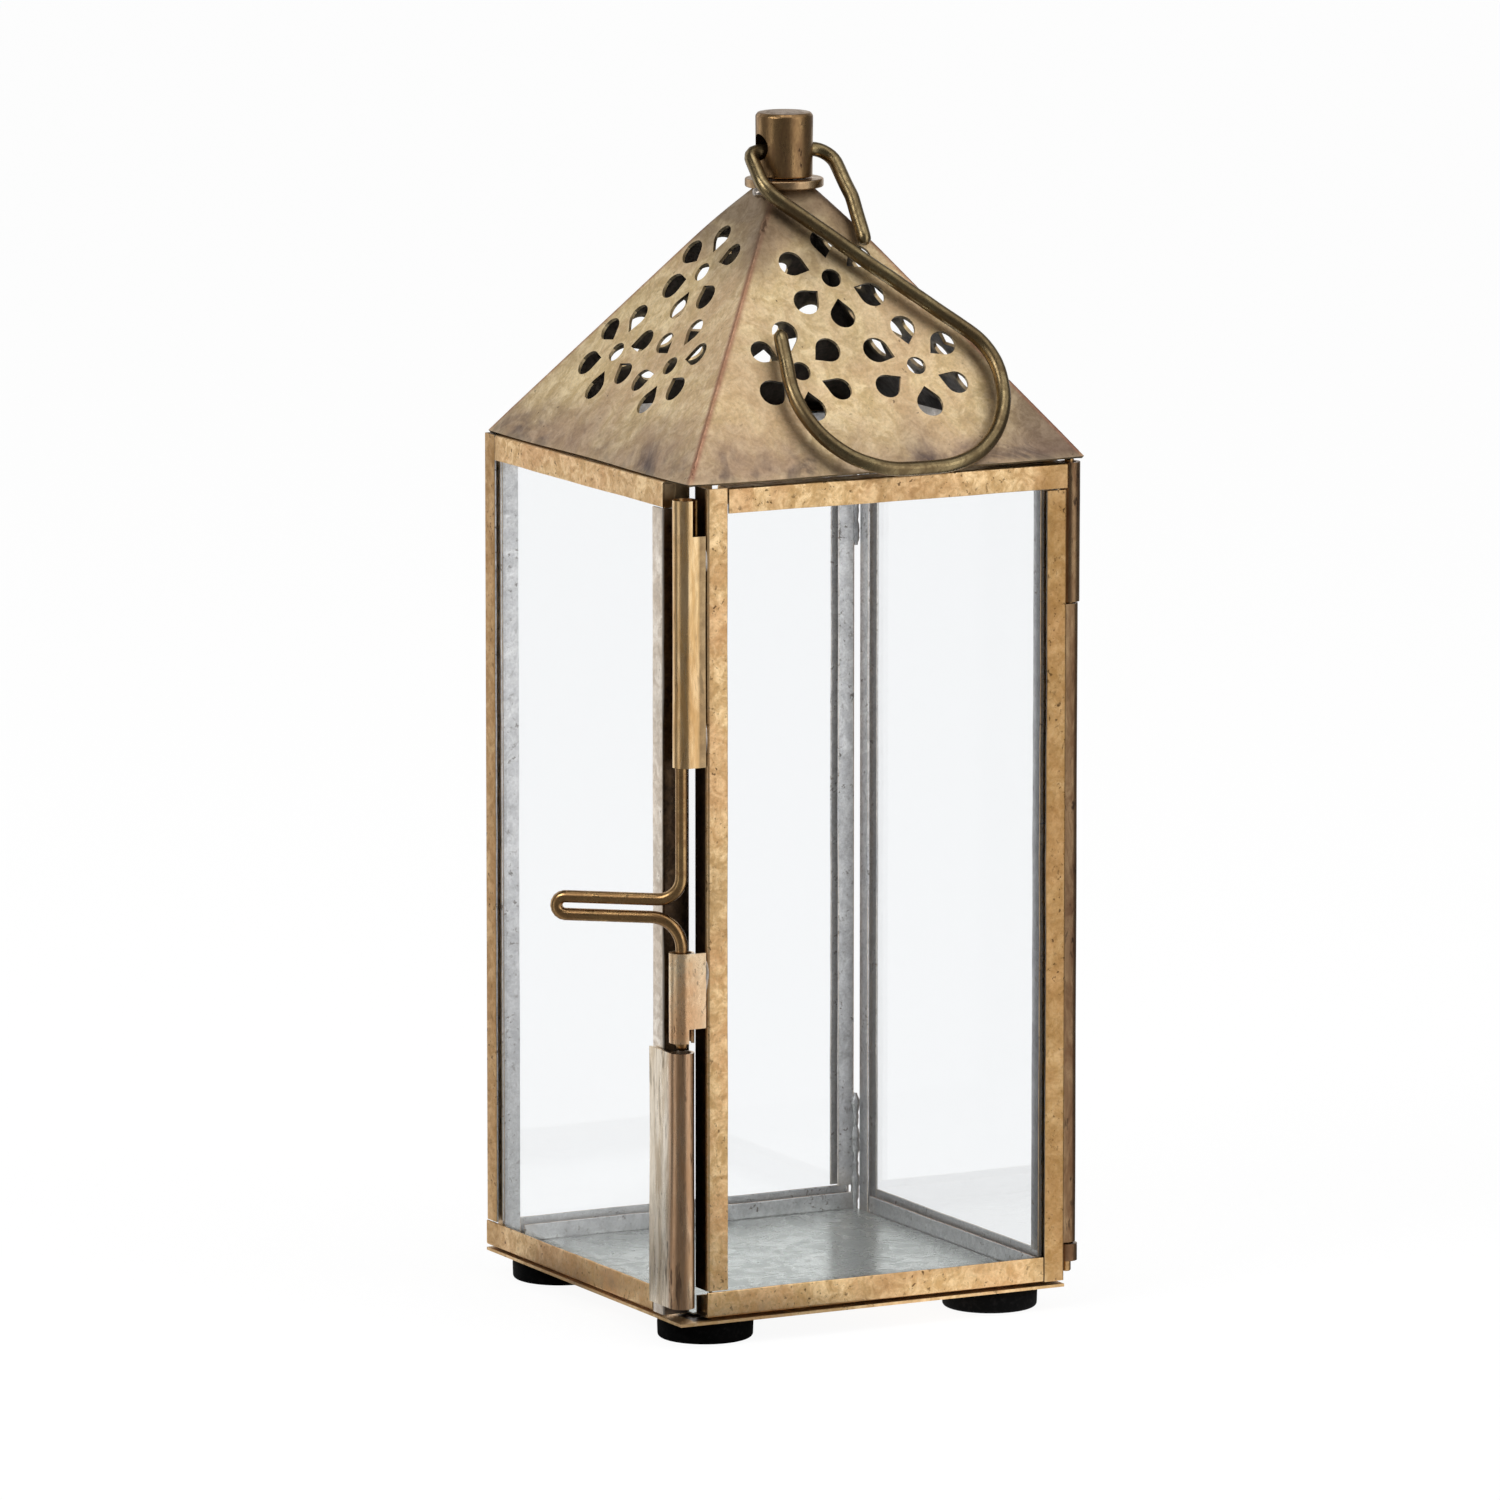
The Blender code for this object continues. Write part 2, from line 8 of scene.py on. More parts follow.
import logging
import math
from dataclasses import dataclass, field, replace
from enum import Enum
from typing import Callable, Optional, Sequence

import bmesh
import bpy
import numpy as np
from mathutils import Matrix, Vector
from mathutils.geometry import delaunay_2d_cdt


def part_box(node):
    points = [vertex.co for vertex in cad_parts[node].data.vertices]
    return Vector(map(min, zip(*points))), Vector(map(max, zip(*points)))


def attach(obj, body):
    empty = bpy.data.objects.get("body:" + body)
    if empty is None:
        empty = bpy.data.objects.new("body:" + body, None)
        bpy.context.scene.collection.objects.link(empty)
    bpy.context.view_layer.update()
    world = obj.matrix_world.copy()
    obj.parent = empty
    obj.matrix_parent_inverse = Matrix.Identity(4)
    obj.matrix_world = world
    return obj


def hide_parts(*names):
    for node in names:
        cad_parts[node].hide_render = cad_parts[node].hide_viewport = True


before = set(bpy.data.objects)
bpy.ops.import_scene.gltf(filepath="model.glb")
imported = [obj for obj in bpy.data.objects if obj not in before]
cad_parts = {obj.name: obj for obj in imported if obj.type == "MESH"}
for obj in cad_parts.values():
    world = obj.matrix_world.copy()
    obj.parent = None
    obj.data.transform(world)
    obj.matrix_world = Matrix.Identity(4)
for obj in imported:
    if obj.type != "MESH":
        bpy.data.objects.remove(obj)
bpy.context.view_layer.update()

logging.basicConfig(level=logging.INFO, format="%(message)s")
LOG = logging.getLogger("lantern")

MM = 0.001
GAP = 0.3 * MM
TURN = 2 * math.pi
FLOOR_Z = -4.7 * MM
CREASE = math.radians(32)
OUTLINE_STEP = 0.26
PATH_STEP = 0.10
ON_AXIS = 0.01 * MM
ROOF_CENTRE = (1.9 * MM, -1.0 * MM)
SEED = 41

Array = np.ndarray
Object = bpy.types.Object
Socket = bpy.types.NodeSocket
Colour = tuple[float, float, float]


class Body(Enum):
    """The moving bodies of the lantern."""

    LANTERN = "lantern"
    DOOR = "door"
    BOLT = "bolt"
    HOOK = "hook"


class Slot(Enum):
    """The record's material slots."""

    FRAME = "frame"
    ROOF = "roof"
    FITTINGS = "fittings"
    WIRE = "wire"
    GLASS = "glass"
    FLOOR = "floor"
    FEET = "feet"


# Meshes


def node_box(node: str) -> tuple[Array, Array]:
    """Return the lowest and highest corner of a CAD node as arrays."""
    low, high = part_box(node)
    return np.array(low), np.array(high)


def grid_quads(rows: int, columns: int) -> Array:
    """Return the quads of a grid whose points are numbered row by row."""
    index = np.arange(rows * columns).reshape(rows, columns)
    quads = [index[:-1, :-1], index[1:, :-1], index[1:, 1:], index[:-1, 1:]]
    return np.stack(quads, -1).reshape(-1, 4)


def arc(
    before: Array, corner: Array, after: Array, radius: float, step: float, extra: int = 0
) -> Array:
    """Return the arc that rounds one corner, touching both of its sides.

    The arc's centre lies on the corner's bisector at radius / sin(half angle).

    Args:
        before: A point on the way in.
        corner: The corner itself.
        after: A point on the way out.
        radius: The arc's radius.
        step: Largest turn between two of its points, in radians.
        extra: Points to add to those that the step asks for.

    Returns:
        The arc's points, one row each; the corner alone where there is nothing to round.
    """
    back = (before - corner) / np.linalg.norm(before - corner)
    on = (after - corner) / np.linalg.norm(after - corner)
    half = math.acos(float(np.clip(back @ on, -1, 1))) / 2
    if radius <= 0 or half > math.pi / 2 - 0.01:
        return np.array(corner)[None]
    bisector = (back + on) / np.linalg.norm(back + on)
    forward = (on - back) / np.linalg.norm(on - back)
    sweep = math.pi - 2 * half
    turns = np.linspace(-sweep / 2, sweep / 2, max(3, math.ceil(sweep / step) + extra))[:, None]
    centre = corner + bisector * radius / math.sin(half)
    return centre + radius * (forward * np.sin(turns) - bisector * np.cos(turns))


def rounded_outline(corners: Array, radii: Sequence[float]) -> Array:
    """Round a closed flat outline's corners with arcs, one radius each; 0 keeps one sharp."""
    count = len(corners)
    return np.concatenate(
        [
            arc(corners[i - 1], corners[i], corners[(i + 1) % count], radii[i], OUTLINE_STEP, 1)
            for i in range(count)
        ]
    )


def loft(name: str, rings: Array, closed_along: bool = False) -> Object:
    """Join rings of points into one closed skin.

    Neighbouring rings are joined by quads, point i of one to point i of the next, and the
    first and last ring are filled flat unless the rings themselves run in a loop.

    Args:
        name: The piece's name.
        rings: Points as (ring, point round the ring, xyz).
        closed_along: Whether the last ring joins the first one.

    Returns:
        The new object, its faces pointing out.
    """
    count, around, _ = rings.shape
    index = np.arange(count * around).reshape(count, around)
    here, there = (index, np.roll(index, -1, 0)) if closed_along else (index[:-1], index[1:])
    quads = np.stack([here, np.roll(here, -1, 1), np.roll(there, -1, 1), there], -1)
    faces = quads.reshape(-1, 4).tolist()
    if not closed_along:
        faces += [index[0][::-1].tolist(), index[-1].tolist()]
    return skin(name, rings.reshape(-1, 3), faces)


def skin(name: str, points: Array, faces: list) -> Object:
    """Make a mesh object from points and faces, merged, turned outwards and shaded smooth."""
    mesh = bpy.data.meshes.new(name)
    mesh.from_pydata(points.tolist(), [], faces)
    bm = bmesh.new()
    bm.from_mesh(mesh)
    bmesh.ops.remove_doubles(bm, verts=bm.verts, dist=0.002 * MM)
    bmesh.ops.recalc_face_normals(bm, faces=bm.faces)
    bm.to_mesh(mesh)
    bm.free()
    mesh.shade_smooth()
    mesh.set_sharp_from_angle(angle=CREASE)
    made = bpy.data.objects.new(name, mesh)
    bpy.context.collection.objects.link(made)
    return made


def baked(piece: Object) -> Object:
    """Apply a piece's modifiers to its mesh and shade it smooth again."""
    graph = bpy.context.evaluated_depsgraph_get()
    mesh = bpy.data.meshes.new_from_object(piece.evaluated_get(graph), depsgraph=graph)
    piece.modifiers.clear()
    piece.data = mesh
    mesh.shade_smooth()
    mesh.set_sharp_from_angle(angle=CREASE)
    return piece


def wobble(along: Array, length: float, size: float, phase: float) -> Array:
    """Return a slow hand-made waver: three sines of unrelated pitch added together."""
    turns = TURN * along / length
    waves = np.sin(turns + phase) + 0.6 * np.sin(2.7 * turns + 2.1 * phase)
    return size * (waves + 0.35 * np.sin(6.1 * turns + 3.7 * phase)) / 1.95


def turned(name: str, centre: Array, profile: Sequence, steps: int = 64) -> Object:
    """Turn a closed profile about a vertical axis.

    Args:
        name: The piece's name.
        centre: A point on the axis.
        profile: Corners as (radius, height, rounding); the outline is closed.
        steps: Points round the axis.

    Returns:
        The turned object: a ring where the profile stays off the axis.
    """
    corners = np.array([corner[:2] for corner in profile], float)
    outline = rounded_outline(corners, [corner[2] for corner in profile])
    turns = np.linspace(0, TURN, steps, endpoint=False)[:, None]
    radius, height = outline[None, :, 0], outline[None, :, 1]
    x = centre[0] + radius * np.cos(turns)
    y = centre[1] + radius * np.sin(turns)
    z = np.broadcast_to(height, x.shape)
    return loft(name, np.stack([x, y, z], -1), closed_along=True)


def rounded_path(corners: Sequence, step: float = 0.10) -> Array:
    """Return points along straight runs in space whose corners are rounded by arcs.

    Args:
        corners: Pairs of a point and its bend radius.
        step: Largest turn between two points of a bend, in radians.

    Returns:
        The path's points, one row each.
    """
    points = [np.array(corners[0][0])[None]]
    for (before, _), (corner, radius), (after, _) in zip(corners, corners[1:], corners[2:]):
        back = (before - corner) / np.linalg.norm(before - corner)
        on = (after - corner) / np.linalg.norm(after - corner)
        half = math.acos(float(np.clip(back @ on, -1, 1))) / 2
        bisector = (back + on) / np.linalg.norm(back + on)
        centre = corner + bisector * radius / math.sin(half)
        sweep = math.pi - 2 * half
        turns = np.linspace(-sweep / 2, sweep / 2, max(3, math.ceil(sweep / step)))[:, None]
        forward = (on - back) / np.linalg.norm(on - back)
        points.append(centre + radius * (forward * np.sin(turns) - bisector * np.cos(turns)))
    points.append(np.array(corners[-1][0])[None])
    return np.concatenate(points)


def spaced(path: Array, pitch: float) -> Array:
    """Return a path's points put at an even pitch along it."""
    runs = np.concatenate([[0], np.cumsum(np.linalg.norm(np.diff(path, axis=0), axis=1))])
    at = np.linspace(0, runs[-1], max(8, math.ceil(runs[-1] / pitch)))
    return np.stack([np.interp(at, runs, path[:, i]) for i in range(3)], 1)


def bent_wire(
    name: str, path: Array, radius: float, across: Array, waver: float, sides: int = 20
) -> Object:
    """Carry a circle along a path, with its ends worn round.

    At each point the circle stands square to the tangent; its first axis is the tangent
    crossed with one fixed direction, so it never twists. Over the last radius of wire the
    circle shrinks as the square root of a parabola.

    Args:
        name: The piece's name.
        path: Evenly spaced points.
        radius: The wire's radius.
        across: A direction that the path never runs along.
        waver: How far the wire strays from its path.
        sides: Points round the wire.

    Returns:
        The wire as one closed skin.
    """
    tangent = np.gradient(path, axis=0)
    tangent /= np.linalg.norm(tangent, axis=1)[:, None]
    side = np.cross(tangent, across)
    side /= np.linalg.norm(side, axis=1)[:, None]
    over = np.cross(side, tangent)
    runs = np.concatenate([[0], np.cumsum(np.linalg.norm(np.diff(path, axis=0), axis=1))])
    centre = path + side * wobble(runs, 46 * MM, waver, 1.3)[:, None]
    centre = centre + over * wobble(runs, 61 * MM, waver, 4.1)[:, None]
    to_end = np.minimum(runs, runs[-1] - runs) / radius
    girth = radius * np.sqrt(np.clip(1 - np.clip(1 - to_end, 0, 1) ** 2 * 0.75, 0.1, 1))
    turns = np.linspace(0, TURN, sides, endpoint=False)
    round_it = side[:, None] * np.cos(turns)[None, :, None]
    round_it = round_it + over[:, None] * np.sin(turns)[None, :, None]
    return loft(name, centre[:, None] + girth[:, None, None] * round_it)


# Shader node groups and materials


class Graph:
    """A short way to place and join shader nodes."""

    def __init__(self, tree: bpy.types.NodeTree) -> None:
        """Work in one node tree."""
        self.tree = tree

    def feed(self, node: bpy.types.Node, inputs: dict) -> None:
        """Give a node's inputs, by name or number, their values or sockets."""
        for key, value in inputs.items():
            if isinstance(value, Socket):
                self.tree.links.new(value, node.inputs[key])
            else:
                node.inputs[key].default_value = value

    def add(self, kind: str, inputs: Optional[dict] = None, **settings) -> bpy.types.Node:
        """Add a node.

        Args:
            kind: The node's type, without its ShaderNode prefix.
            inputs: Values or sockets for its inputs, by name or number.
            **settings: The node's own properties.

        Returns:
            The new node.
        """
        node = self.tree.nodes.new("ShaderNode" + kind)
        for key, value in settings.items():
            setattr(node, key, value)
        self.feed(node, inputs or {})
        return node

    def place(self) -> Socket:
        """Return the place on the piece in its own coordinates."""
        return self.add("TexCoord").outputs["Object"]

    def parts(self, vector) -> list:
        """Return a vector's three parts."""
        return list(self.add("SeparateXYZ", {"Vector": vector}).outputs)

    def facing(self) -> list:
        """Return the three parts of the true surface normal."""
        return self.parts(self.add("NewGeometry").outputs["True Normal"])

    def math(self, operation: str, a, b=0.0, clamp: bool = False) -> Socket:
        """Return the result of one Math node."""
        made = self.add("Math", {0: a, 1: b}, operation=operation, use_clamp=clamp)
        return made.outputs[0]

    def times(self, a, b, clamp: bool = False) -> Socket:
        """Return a product."""
        return self.math("MULTIPLY", a, b, clamp)

    def plus(self, a, b, clamp: bool = False) -> Socket:
        """Return a sum."""
        return self.math("ADD", a, b, clamp)

    def less(self, a, b, clamp: bool = False) -> Socket:
        """Return a difference."""
        return self.math("SUBTRACT", a, b, clamp)

    def ramp(self, value, low: float, high: float) -> Socket:
        """Return a value stretched so that low gives 0 and high gives 1, eased."""
        limits = {"Value": value, "From Min": low, "From Max": high}
        return self.add("MapRange", limits, interpolation_type="SMOOTHSTEP").outputs[0]

    def fall(self, value, low: float, high: float) -> Socket:
        """Return 1 below low and 0 above high, eased."""
        return self.less(1.0, self.ramp(value, low, high))

    def mix(self, factor, a, b) -> Socket:
        """Return two colours mixed."""
        node = self.tree.nodes.new("ShaderNodeMix")
        node.data_type = "RGBA"
        for number, value in ((0, factor), (6, a), (7, b)):
            self.feed(node, {number: (*value, 1.0) if isinstance(value, tuple) else value})
        return node.outputs[2]

    def noise(self, place: Socket, scale: float, detail=3.0, rough=0.6, warp=0.0) -> Socket:
        """Return the value of a noise on a place."""
        inputs = {"Vector": place, "Scale": scale, "Detail": detail, "Roughness": rough}
        inputs["Distortion"] = warp
        return self.add("TexNoise", inputs).outputs["Fac"]


def new_group(name: str, inputs: Sequence, outputs: Sequence) -> tuple:
    """Start a shader node group.

    Args:
        name: The group's name.
        inputs: Pairs of a socket's name and its default value, None for a vector.
        outputs: Names of value sockets.

    Returns:
        The group's graph, its input sockets and its output node.
    """
    group = bpy.data.node_groups.new(name, "ShaderNodeTree")
    for label, value in inputs:
        kind = "NodeSocketVector" if value is None else "NodeSocketFloat"
        socket = group.interface.new_socket(name=label, in_out="INPUT", socket_type=kind)
        if value is not None:
            socket.default_value = value
    for label in outputs:
        group.interface.new_socket(name=label, in_out="OUTPUT", socket_type="NodeSocketFloat")
    given = group.nodes.new("NodeGroupInput").outputs
    return Graph(group), given, group.nodes.new("NodeGroupOutput")


def new_material(name: str) -> tuple:
    """Return a new material, its graph and its Principled shader."""
    made = bpy.data.materials.new(name)
    made.use_nodes = True
    return made, Graph(made.node_tree), made.node_tree.nodes["Principled BSDF"]


def patina_group() -> bpy.types.NodeTree:
    """Make the group that ages metal.

    It puts out Cloud, broad soft patches; Mottle, finger-sized blotches; Specks, small dark
    pits; Grain, the fine marks of the sheet; and Height, all of them as relief.
    """
    inputs = (("Place", None), ("Scale", 1.0), ("Specks", 0.5))
    outputs = ("Cloud", "Mottle", "Specks", "Grain", "Height")
    graph, given, result = new_group("patina", inputs, outputs)
    scaled = {0: given["Place"], "Scale": given["Scale"]}
    place = graph.add("VectorMath", scaled, operation="SCALE").outputs[0]
    cloud = graph.ramp(graph.noise(place, 48.0, 4.0, 0.66, 0.7), 0.38, 0.64)
    mottle = graph.ramp(graph.noise(place, 330.0, 6.0, 0.72, 0.8), 0.36, 0.68)
    pits = graph.noise(place, 820.0, 3.0, 0.66, 0.3)
    patchy = graph.ramp(graph.noise(place, 130.0, 3.0, 0.6), 0.40, 0.66)
    edge = graph.less(0.78, graph.times(given["Specks"], 0.24))
    over = graph.math("DIVIDE", graph.less(pits, edge), 0.06, clamp=True)
    specks = graph.times(over, graph.plus(patchy, 0.25), clamp=True)
    grain = graph.noise(place, 1700.0, 2.0, 0.7)
    relief = graph.plus(graph.times(mottle, 0.35), graph.times(grain, 0.25))
    relief = graph.less(relief, graph.times(specks, 0.6))
    graph.feed(result, dict(zip(outputs, (cloud, mottle, specks, grain, relief))))
    return graph.tree


def edge_group() -> bpy.types.NodeTree:
    """Make the group that finds outer folds and inner corners from the mesh's own curvature.

    It puts out Edge, 1 on sharp outer folds, and Crevice, 1 in tight inner corners.
    """
    graph, _, result = new_group("fold_marks", (), ("Edge", "Crevice"))
    bend = graph.add("NewGeometry").outputs["Pointiness"]
    out, into = graph.less(bend, 0.53), graph.less(0.47, bend)
    edges = {"Edge": graph.times(out, 9.0, clamp=True)}
    edges["Crevice"] = graph.times(into, 9.0, clamp=True)
    graph.feed(result, edges)
    return graph.tree


@dataclass(frozen=True)
class AgedMetal:
    """Brass or tinned sheet: patches, blotches, specks, dark inner corners, light outer folds."""

    name: str
    bright: Colour
    tan: Colour
    blush: Colour
    stain: Colour
    dark: Colour
    rough: tuple[float, float] = (0.30, 0.52)
    scale: float = 1.0
    specks: float = 0.5
    blush_share: float = 0.5
    stain_share: float = 0.4
    metallic: float = 1.0
    relief: float = 0.08
    stretch: tuple[float, float, float] = (1.0, 1.0, 1.0)
    shading: Optional[Callable] = None

    def make(self, groups: dict) -> bpy.types.Material:
        """Build the material.

        Args:
            groups: The shared node groups by name.

        Returns:
            The finished material.
        """
        made, graph, shader = new_material(self.name)
        place = graph.place()
        drawn = graph.add("Mapping", {"Vector": place, "Scale": self.stretch}).outputs[0]
        given = {"Place": drawn, "Scale": self.scale, "Specks": self.specks}
        aged = graph.add("Group", given, node_tree=groups["patina"]).outputs
        worn = graph.add("Group", node_tree=groups["fold_marks"]).outputs
        wide = graph.noise(drawn, 21.0 * self.scale, 3.0, 0.55, 0.4)
        colour = graph.mix(aged["Mottle"], self.tan, self.bright)
        colour = graph.mix(graph.times(aged["Cloud"], self.blush_share), colour, self.blush)
        stained = graph.times(graph.ramp(wide, 0.50, 0.72), self.stain_share)
        colour = graph.mix(stained, colour, self.stain)
        if self.shading:
            colour = self.shading(graph, place, colour)
        pits = graph.times(aged["Specks"], 0.75)
        # Grain and pits darken the colour; curvature darkens tight inner corners and lightens sharp
        # outer folds.
        for mask, tone in (
            (graph.times(graph.ramp(aged["Grain"], 0.35, 0.7), 0.18), self.dark),
            (pits, self.dark),
            (graph.times(worn["Crevice"], 0.7), self.dark),
            (graph.times(worn["Edge"], 0.35), self.bright),
        ):
            colour = graph.mix(mask, colour, tone)
        low, high = self.rough
        gloss = {"Value": aged["Mottle"], "To Min": high, "To Max": low}
        gloss = graph.add("MapRange", gloss).outputs[0]
        bump = {"Height": aged["Height"], "Strength": self.relief, "Distance": 0.4 * MM}
        inputs = {
            "Base Color": colour,
            "Roughness": graph.plus(gloss, graph.times(pits, 0.25), clamp=True),
            "Normal": graph.add("Bump", bump).outputs[0],
            "Metallic": self.metallic,
        }
        graph.feed(shader, inputs)
        return made


@dataclass(frozen=True)
class ClearGlass:
    """Window glass with a faint cool tint and slow waves in its surface."""

    name: str = "clear_glass"
    tint: Colour = (0.955, 0.962, 0.968)

    def make(self, groups: dict) -> bpy.types.Material:
        """Build the material; the shared groups aren't needed."""
        made, graph, shader = new_material(self.name)
        waves = graph.noise(graph.place(), 18.0, 1.0, 0.4)
        bump = {"Height": waves, "Strength": 0.02, "Distance": 0.5 * MM}
        inputs = {
            "Base Color": (*self.tint, 1.0),
            "Roughness": 0.0,
            "IOR": 1.45,
            "Transmission Weight": 1.0,
            "Normal": graph.add("Bump", bump).outputs[0],
        }
        graph.feed(shader, inputs)
        return made


@dataclass(frozen=True)
class BlackRubber:
    """Matt black rubber, dusty on its rim."""

    name: str = "black_rubber"

    def make(self, groups: dict) -> bpy.types.Material:
        """Build the material; the shared groups aren't needed."""
        made, graph, shader = new_material(self.name)
        dust = graph.ramp(graph.noise(graph.place(), 900.0, 4.0, 0.7), 0.45, 0.75)
        bump = {"Height": dust, "Strength": 0.25, "Distance": 0.1 * MM}
        inputs = {
            "Base Color": graph.mix(dust, (0.002, 0.002, 0.002), (0.009, 0.008, 0.008)),
            "Roughness": 0.75,
            "Specular IOR Level": 0.06,
            "Normal": graph.add("Bump", bump).outputs[0],
        }
        graph.feed(shader, inputs)
        return made


def roof_shading(graph: Graph, place: Socket, colour: Socket) -> Socket:
    """Stain the roof along its eaves and ridges, at its right end and near its top.

    Painted shade leaves its underside nearly black.
    """
    x, y, z = graph.parts(place)
    ragged = graph.times(graph.noise(place, 60.0, 4.0, 0.65, 0.8), 22 * MM)
    uneven = graph.plus(z, ragged)
    eave = graph.fall(uneven, 183 * MM, 201 * MM)
    right_end = graph.ramp(graph.plus(x, ragged), 36 * MM, 50 * MM)
    lilac = graph.ramp(graph.noise(place, 75.0, 4.0, 0.65, 1.2), 0.46, 0.60)
    hem = graph.times(graph.fall(uneven, 181 * MM, 192 * MM), lilac)
    out_x = graph.math("ABSOLUTE", graph.less(x, ROOF_CENTRE[0]))
    out_y = graph.math("ABSOLUTE", graph.less(y, ROOF_CENTRE[1]))
    off_ridge = graph.math("ABSOLUTE", graph.less(out_x, out_y))
    for mask, strength, tone in (
        (eave, 0.72, (0.36, 0.24, 0.18)),
        (right_end, 0.75, (0.16, 0.105, 0.085)),
        (hem, 0.95, (0.10, 0.075, 0.075)),
        (graph.fall(off_ridge, 0.3 * MM, 1.6 * MM), 0.75, (0.38, 0.17, 0.11)),
        (graph.ramp(uneven, 219 * MM, 236 * MM), 0.80, (0.17, 0.115, 0.075)),
    ):
        colour = graph.mix(graph.times(mask, strength), colour, tone)
    # Painted shade: faces turned downwards, the roof's underside, go nearly black.
    underside_shade = graph.ramp(graph.times(graph.facing()[2], -1.0), 0.1, 0.35)
    return graph.mix(underside_shade, colour, (0.022, 0.018, 0.014))


def tin_and_painted_shade(graph: Graph, place: Socket, colour: Socket) -> Socket:
    """Turn brass to soldered tin where it looks into the lantern; paint shade in the door gap.

    A face looks inwards where its normal points against its own place from the middle.
    Painted shade also turns tin that faces the back, and tin beside the hinge, dark navy.
    """
    x, y, z = graph.parts(place)
    face_x, face_y, _ = graph.facing()
    turned_in = [
        graph.times(graph.math("DIVIDE", at, 38 * MM), face)
        for at, face in ((x, face_x), (y, face_y))
    ]
    tin = graph.ramp(graph.times(graph.plus(*turned_in), -1.0), 0.25, 0.6)
    spangle = graph.ramp(graph.noise(place, 300.0, 6.0, 0.75, 1.0), 0.34, 0.70)
    grey = graph.mix(spangle, (0.66, 0.66, 0.67), (1.0, 1.0, 0.99))
    fade = graph.ramp(z, 10 * MM, 150 * MM)
    grey = graph.mix(fade, graph.mix(0.5, grey, (0.24, 0.245, 0.26)), grey)
    # Painted shade: tin facing the back, and tin on the strip beside the hinge, goes dark navy.
    by_hinge = graph.times(graph.fall(y, -38 * MM, -34 * MM), graph.ramp(x, 34 * MM, 37 * MM))
    shaded = graph.math("MAXIMUM", graph.ramp(face_y, 0.3, 0.8), by_hinge)
    grey = graph.mix(graph.times(shaded, 0.88), grey, (0.035, 0.037, 0.050))
    colour = graph.mix(tin, colour, grey)
    far_side = (graph.ramp(x, 35 * MM, 41 * MM), graph.ramp(y, 36 * MM, 41 * MM))
    amber = graph.times(graph.math("MAXIMUM", *far_side), graph.fall(tin, 0.0, 0.5))
    cloudy = graph.plus(graph.noise(place, 70.0, 4.0, 0.7, 1.0), 0.15, clamp=True)
    colour = graph.mix(graph.times(amber, cloudy), colour, (0.36, 0.19, 0.055))
    # Painted shade in the door gap: faces there that look left or to the front, and everything
    # below 7 mm there, go near black.
    behind = graph.ramp(y, -44.4 * MM, -43.6 * MM)
    in_gap = graph.times(behind, graph.fall(y, -36.6 * MM, -35.8 * MM))
    in_gap = graph.times(in_gap, graph.fall(x, -38.2 * MM, -37.0 * MM))
    side_on, head_on = (graph.ramp(graph.times(f, -1.0), 0.3, 0.7) for f in (face_x, face_y))
    beside = graph.times(side_on, graph.ramp(x, -41.0 * MM, -40.0 * MM))
    hollow = graph.times(graph.fall(z, 6.5 * MM, 7.5 * MM), graph.ramp(x, -42.2 * MM, -41.2 * MM))
    gap_shade = graph.math("MAXIMUM", graph.math("MAXIMUM", beside, head_on), hollow)
    gap_shade_tone = graph.mix(spangle, (0.036, 0.023, 0.015), (0.10, 0.060, 0.032))
    return graph.mix(graph.times(in_gap, gap_shade), colour, gap_shade_tone)


def web_shading(graph: Graph, place: Socket, colour: Socket) -> Socket:
    """Paint shade on the flat web recessed between a sleeve and the door, raggedly."""
    web = graph.ramp(graph.parts(place)[0], -41.0 * MM, -40.3 * MM)
    ragged = graph.noise(place, 420.0, 4.0, 0.7)
    web = graph.times(web, graph.plus(ragged, 0.35, clamp=True))
    return graph.mix(web, colour, (0.16, 0.085, 0.035))


def leaf_shading(graph: Graph, place: Socket, colour: Socket) -> Socket:
    """Leave the socket's flat leaf a pale beige beside its darker tube."""
    leaf = graph.ramp(graph.parts(place)[1], -42.4 * MM, -40.2 * MM)
    streaks = graph.add("Mapping", {"Vector": place, "Scale": (1.0, 1.0, 0.12)}).outputs[0]
    streaks = graph.ramp(graph.noise(streaks, 520.0, 4.0, 0.7, 0.5), 0.34, 0.62)
    pale = graph.mix(streaks, (0.62, 0.50, 0.36), (1.0, 0.90, 0.76))
    return graph.mix(leaf, colour, pale)


BRASS = AgedMetal(
    "aged_brass",
    bright=(0.96, 0.70, 0.39),
    tan=(0.70, 0.45, 0.20),
    blush=(0.70, 0.38, 0.18),
    stain=(0.30, 0.18, 0.08),
    dark=(0.085, 0.045, 0.018),
    specks=0.75,
    shading=tin_and_painted_shade,
)
PALE_BRASS = AgedMetal(
    "pale_brass",
    bright=(0.98, 0.90, 0.80),
    tan=(0.80, 0.70, 0.59),
    blush=(0.72, 0.59, 0.46),
    stain=(0.46, 0.38, 0.29),
    dark=(0.16, 0.12, 0.09),
    specks=0.5,
    shading=tin_and_painted_shade,
)
TUBE_BRASS = AgedMetal(
    "streaked_brass",
    bright=(1.0, 0.78, 0.46),
    tan=(0.72, 0.46, 0.19),
    blush=(0.62, 0.34, 0.14),
    stain=(0.22, 0.12, 0.045),
    dark=(0.08, 0.045, 0.02),
    rough=(0.17, 0.34),
    stain_share=0.6,
    specks=0.7,
    stretch=(1.0, 1.0, 0.16),
    shading=web_shading,
)
BLOTCHED_BRASS = AgedMetal(
    "blotched_brass",
    bright=(1.0, 0.90, 0.66),
    tan=(1.0, 0.76, 0.46),
    blush=(0.95, 0.54, 0.27),
    stain=(0.46, 0.23, 0.10),
    dark=(0.10, 0.05, 0.025),
    rough=(0.20, 0.38),
    blush_share=0.75,
    stain_share=0.6,
    metallic=0.8,
    specks=0.8,
    scale=1.5,
    stretch=(1.0, 1.0, 0.5),
)
